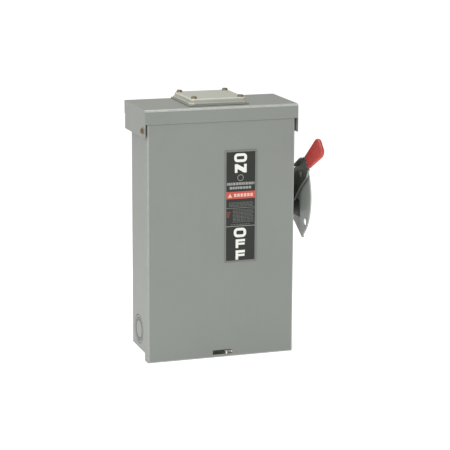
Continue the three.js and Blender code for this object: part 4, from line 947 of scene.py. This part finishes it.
def make_label():
    """The position label: dark film, two position words, plain bars and a red band."""
    low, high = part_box("cover_label")
    dice = random.Random(4)
    bm = bmesh.new()
    slab(bm, low, high)
    rounded(bm, edges_along(bm, REAR, lambda m: True), LABEL_CORNER, 4)
    make_piece("label_film", bm, "label_edge", "cover", ("cover_label",))
    face = low.y
    ink = face - FILM
    left, right = low.x + MARGIN_LEFT, high.x - MARGIN_RIGHT

    ground = bmesh.new()
    slab(ground, (left, ink, low.z + MARGIN_BOTTOM), (right, face, high.z - MARGIN_TOP))
    make_piece("label_ground", ground, "label", "cover")

    # Each letter: its shape, its two sides from the label's left edge, its foot and its top.
    rows = [
        (letter_o, 14.2, 33.6, 103.9, 116.6),
        (letter_n, 15.3, 33.2, 88.4, 101.0),
        (letter_o, 14.2, 33.1, -6.5, 7.3),
        (letter_f, 17.2, 31.4, -22.5, -9.5),
        (letter_f, 17.2, 31.4, -39.7, -25.8),
    ]
    for number, (shape_of, x0, x1, z0, z1) in enumerate(rows):
        shape = shape_of(
            (low.x + x0 * MM, ink - LETTER_INK, z0 * MM), (low.x + x1 * MM, ink, z1 * MM)
        )
        make_piece(f"position_letter_{number}", shape, "white_ink", "cover")

    mark = bmesh.new()
    inner, outer = MARK_RADII
    height = 0.07 * MM
    turned(
        mark,
        [(inner, 0), (outer, 0), (outer, height), (inner, height), (inner, 0)],
        (low.x + MARK_MIDDLE, ink, 81 * MM),
        -REAR,
        32,
    )
    make_piece("plain_ring", mark, "grey_ink", "cover")

    white = bmesh.new()
    for inset, z, tall in ((1.0, 70.4, 3.9), (5.0, 64.6, 3.6)):
        word_bars(
            white, ink, left + inset * MM, right - inset * MM, z * MM, tall * MM, dice, 4.0
        )
    for z0, z1 in ((36.6, 37.0), (9.6, 10.4)):
        slab(white, (left, ink - INK, z0 * MM), (right, ink, z1 * MM))
    make_piece("label_lines_white", white, "grey_ink", "cover")

    band = bmesh.new()
    front = ink - INK
    slab(band, (left, front, BAND_HEIGHTS[0]), (right, ink, BAND_HEIGHTS[1]))
    for z in (24.0, 27.0, 30.0):
        word_bars(band, ink, left + 1.2 * MM, left + 6.6 * MM, z * MM, 0.9 * MM, dice, 5.0)
    make_piece("label_band", band, "red_ink", "cover")

    sign = bmesh.new()
    foot, peak = SIGN_HEIGHTS
    triangle = [(2.4 * MM, foot), (8.8 * MM, foot), (5.6 * MM, peak)]
    prism(sign, [(left + x, front, z) for x, z in triangle], -REAR * 0.05 * MM)
    for step in range(6):
        x = left + (11.6 + 5.0 * step) * MM
        slab(sign, (x, front - 0.05 * MM, 53.2 * MM), (x + 3.7 * MM, front, 57.9 * MM))
    make_piece("label_sign", sign, "pink_ink", "cover")

    # Fine print: insets from both sides, foot, bar height and longest bar, all in millimetres.
    fine = bmesh.new()
    lines = [(4, 3, 38.6 + 1.9 * row, 1.1, 5.0) for row in range(4)]
    lines += [(10, 2, 15.6 + 2.0 * row, 1.0, 6.0) for row in range(10)]
    lines.append((7, 8, 11.8, 1.3, 5.0))
    for from_left, from_right, z, tall, longest in lines:
        x0, x1 = left + from_left * MM, right - from_right * MM
        word_bars(fine, ink, x0, x1, z * MM, tall * MM, dice, longest)
    make_piece("label_lines_fine", fine, "dim_ink", "cover")


# ---- Handle ----

LEVER_LEAN = math.radians(45)
LEVER_BEND = math.radians(13)
LEVER_BEND_FROM_AXIS = 78 * MM
LEVER_FROM_BUSHING = 1.8 * MM
GRIP_HALF = 2.7 * MM
GRIP_RIM = 2.2 * MM
GRIP_ROOT = (11 * MM, 1.6 * MM)  # half width, and distance from the bend
GRIP_TIP = (6.8 * MM, 36.8 * MM)  # middle of each round corner
GRIP_TIP_RADIUS = 9.0 * MM


def make_grip():
    """The dipped grip: a flat tongue of vinyl with a round rim and a broad round end."""
    shaft_low, shaft_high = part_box("handle_shaft")
    centre = (shaft_low + shaft_high) / 2
    lever_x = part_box("shaft_bushing")[1].x + LEVER_FROM_BUSHING
    bend = (
        Matrix.Translation((0, centre.y, centre.z))
        @ Matrix.Rotation(LEVER_LEAN, 4, "X")
        @ Matrix.Translation((lever_x, 0, LEVER_BEND_FROM_AXIS))
        @ Matrix.Rotation(LEVER_BEND, 4, "Y")
    )
    corners = [(-GRIP_ROOT[0], GRIP_ROOT[1]), GRIP_ROOT]
    for start, side in ((0, 1), (90, -1)):
        for step in range(7):
            turn = math.radians(start + 15 * step)
            across = side * GRIP_TIP[0] + GRIP_TIP_RADIUS * math.cos(turn)
            corners.append((across, GRIP_TIP[1] + GRIP_TIP_RADIUS * math.sin(turn)))
    bm = bmesh.new()
    prism(bm, [(-GRIP_HALF, across, along) for across, along in corners], RIGHT * 2 * GRIP_HALF)
    rounded(bm, hard_edges(bm, RIM_ABOVE), GRIP_RIM, 5)
    bmesh.ops.transform(bm, matrix=bend, verts=bm.verts)
    bmesh.ops.recalc_face_normals(bm, faces=bm.faces)
    make_piece("handle_grip_made", bm, "red_vinyl", "handle", ("handle_grip",))


# ---- Dark plates that no frame part stands for, put in as painted shade ----

LATCH_PLATE_DEPTHS = (2.1 * MM, 3.2 * MM)  # behind the front of the cover
LATCH_PLATE_TOP = 15.0 * MM
STAPLE_CLEAR = 1.4 * MM
LATCH_PLATE_BESIDE_STAPLE = 11.0 * MM
LATCH_PLATE_BESIDE_CATCH = 2.0 * MM
LATCH_PLATE_OVER_CATCH = 0.5 * MM
GUARD_SHEET = 2.05 * MM  # with the gap to the strip
PAINTED_SHADE_STRIP = 0.8 * MM


def make_latch_painted_shade_plate():
    """Very dark plates hung from the box's lip, which close the slot on both sides of the staple;
    their darkness is painted shade inside the slot.
    """
    staple_low, staple_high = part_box("latch_staple")
    catch_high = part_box("cover_catch")[1]
    cover_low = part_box("front_cover")[0]
    staple_middle = (staple_low.x + staple_high.x) / 2
    front, back = (cover_low.y + depth for depth in LATCH_PLATE_DEPTHS)
    top = cover_low.z + LATCH_PLATE_TOP
    bm = bmesh.new()
    slab(
        bm,
        (staple_low.x - LATCH_PLATE_BESIDE_STAPLE, front, cover_low.z + SLOT_FLOOR),
        (staple_middle - STAPLE_CLEAR, back, top),
    )
    slab(
        bm,
        (staple_middle + STAPLE_CLEAR, front, catch_high.z + LATCH_PLATE_OVER_CATCH),
        (catch_high.x + LATCH_PLATE_BESIDE_CATCH, back, top),
    )
    rounded(bm, hard_edges(bm), CUT_EDGE, 2)
    # Painted shade: the plates are very dark zinc.
    make_piece("latch_painted_shade_plate", bm, "dull_zinc", "enclosure")


def make_painted_shade_strip():
    """A slim black moulded strip on the guard's inner face, beside the lever's path, put there as
    painted shade.
    """
    guard_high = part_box("handle_guard")[1]
    shaft_low, shaft_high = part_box("handle_shaft")
    shaft_depth = (shaft_low.y + shaft_high.y) / 2
    face = guard_high.x - GUARD_SHEET
    bm = bmesh.new()
    slab(
        bm,
        (face - PAINTED_SHADE_STRIP, shaft_depth - 15.0 * MM, shaft_low.z - 27.0 * MM),
        (face, shaft_depth + 17.0 * MM, shaft_low.z - 2.0 * MM),
    )
    rounded(bm, hard_edges(bm), CUT_EDGE, 2)
    # Painted shade: a black strip where the guard's inner face lies in shade.
    make_piece("guard_painted_shade_strip", bm, "moulding", "enclosure")


# ---- Assembly ----

make_cover()
make_hood()
make_hub_plate()
make_knockout("side_knockout", -RIGHT, (LARGE_RING, SMALL_RING))
make_knockout("bottom_knockout_1", -UP, (SMALL_RING,))
make_knockout("bottom_knockout_2", -UP, (SMALL_RING,))
make_hub_screws()
make_hinge_screws()
make_label()
make_grip()
make_latch_painted_shade_plate()
make_painted_shade_strip()

MADE_ANEW = {
    "front_cover",
    "top_hood",
    "hub_closure_plate",
    "side_knockout",
    "bottom_knockout_1",
    "bottom_knockout_2",
    "hinge_screw_left",
    "hinge_screw_right",
    "cover_label",
    "handle_grip",
    *HUB_SCREWS,
}
# The guard takes the lighter enamel, as painted light.
OWN_FINISH = {"handle_lever": "dark_zinc", "handle_guard": "guard_enamel_painted_light"}
EDGE_RADIUS = {"moulding": 0.6 * MM, "aluminium": 0.5 * MM, "rubber": 0.4 * MM, "fibre": 0.5 * MM}
USUAL_EDGE_RADIUS = 0.3 * MM
THIN_RIMS = {"handle_shaft", "fuse_1_bottom_cap", "fuse_2_bottom_cap"}
THIN_RIM_RADIUS = 0.18 * MM

for node in frame["nodes"]:
    if node in MADE_ANEW:
        continue
    radius = EDGE_RADIUS.get(SLOT_OF[node], USUAL_EDGE_RADIUS)
    refined(node, THIN_RIM_RADIUS if node in THIN_RIMS else radius, OWN_FINISH.get(node))


# ---- Stage ----

FLOOR_HALF = 30
FLOOR_GAP = 0.2 * MM
FLOOR_GLOW = 0.70
LENS_MM = 145.16
CAMERA_PLACE = (-0.8169, -2.5239, 0.5695)
CAMERA_YAW = math.radians(18.760)
CAMERA_PITCH = math.radians(12.289)
CAMERA_ROLL = math.radians(0.300)
WORLD_GLOW = 0.42


def make_floor():
    """A plain pale floor that glows a little, so that it stays pale all over."""
    bm = bmesh.new()
    bmesh.ops.create_grid(bm, x_segments=1, y_segments=1, size=FLOOR_HALF)
    bmesh.ops.translate(bm, vec=UP * (cad_bounds[0].z - FLOOR_GAP), verts=bm.verts)
    mesh = bpy.data.meshes.new("floor")
    bm.to_mesh(mesh)
    bm.free()
    floor = bpy.data.objects.new("floor", mesh)
    bpy.context.scene.collection.objects.link(floor)
    pale = Finish("pale_floor", metallic=0.0, emission_strength=FLOOR_GLOW)
    pale.shader.inputs["Emission Color"].default_value = (1, 1, 1, 1)
    cloud = pale.noise(800, detail=3)
    pale.set("Base Color", pale.mix(cloud, (0.80, 0.80, 0.795), (0.83, 0.83, 0.825)))
    pale.set("Roughness", 0.7 + 0.1 * cloud)
    mesh.materials.append(pale.material)


def area_light(name, place, aim, size, power, colour):
    """A square light, size metres wide, that looks from its place at its aim."""
    light = bpy.data.lights.new(name, "AREA")
    light.shape = "SQUARE"
    light.size = size
    light.energy = power
    light.color = colour
    lamp = bpy.data.objects.new(name, light)
    lamp.location = place
    lamp.rotation_mode = "QUATERNION"
    lamp.rotation_quaternion = (Vector(aim) - Vector(place)).to_track_quat("-Z", "Y")
    bpy.context.scene.collection.objects.link(lamp)


def make_camera():
    """A long lens to the left of the front and a little above it."""
    camera = bpy.data.cameras.new("camera")
    camera.sensor_width = 36
    camera.lens = LENS_MM
    camera.clip_start = 0.05
    camera.clip_end = 100
    holder = bpy.data.objects.new("camera", camera)
    level = Vector((math.cos(CAMERA_YAW), -math.sin(CAMERA_YAW), 0))
    ahead = Vector((math.sin(CAMERA_YAW), math.cos(CAMERA_YAW), 0))
    forward = ahead * math.cos(CAMERA_PITCH) - UP * math.sin(CAMERA_PITCH)
    upright = level.cross(forward)
    side = level * math.cos(CAMERA_ROLL) + upright * math.sin(CAMERA_ROLL)
    top = upright * math.cos(CAMERA_ROLL) - level * math.sin(CAMERA_ROLL)
    turn = Matrix((side, top, -forward)).transposed().to_4x4()
    holder.matrix_world = Matrix.Translation(CAMERA_PLACE) @ turn
    bpy.context.scene.collection.objects.link(holder)
    bpy.context.scene.camera = holder


def make_world():
    """Even white light from all round."""
    world = bpy.data.worlds.new("studio")
    world.use_nodes = True
    glow = world.node_tree.nodes["Background"]
    glow.inputs["Color"].default_value = (1, 1, 1, 1)
    glow.inputs["Strength"].default_value = WORLD_GLOW
    bpy.context.scene.world = world
    bpy.context.scene.view_settings.view_transform = "Standard"


BOX_MIDDLE = (0, -0.05, 0.0)
HOOD_MIDDLE = (-0.05, -0.05, 0.185)

make_floor()
make_camera()
area_light("key", (-1.9, -3.2, 1.9), BOX_MIDDLE, 0.4, 74, (1.0, 1.0, 0.985))
area_light("left_fill", (-3.2, 0.2, 0.8), BOX_MIDDLE, 2.4, 2, (1.0, 0.965, 0.90))
area_light("overhead", (-0.15, 0.05, 0.95), HOOD_MIDDLE, 0.5, 5.5, (1.0, 0.99, 0.92))
make_world()
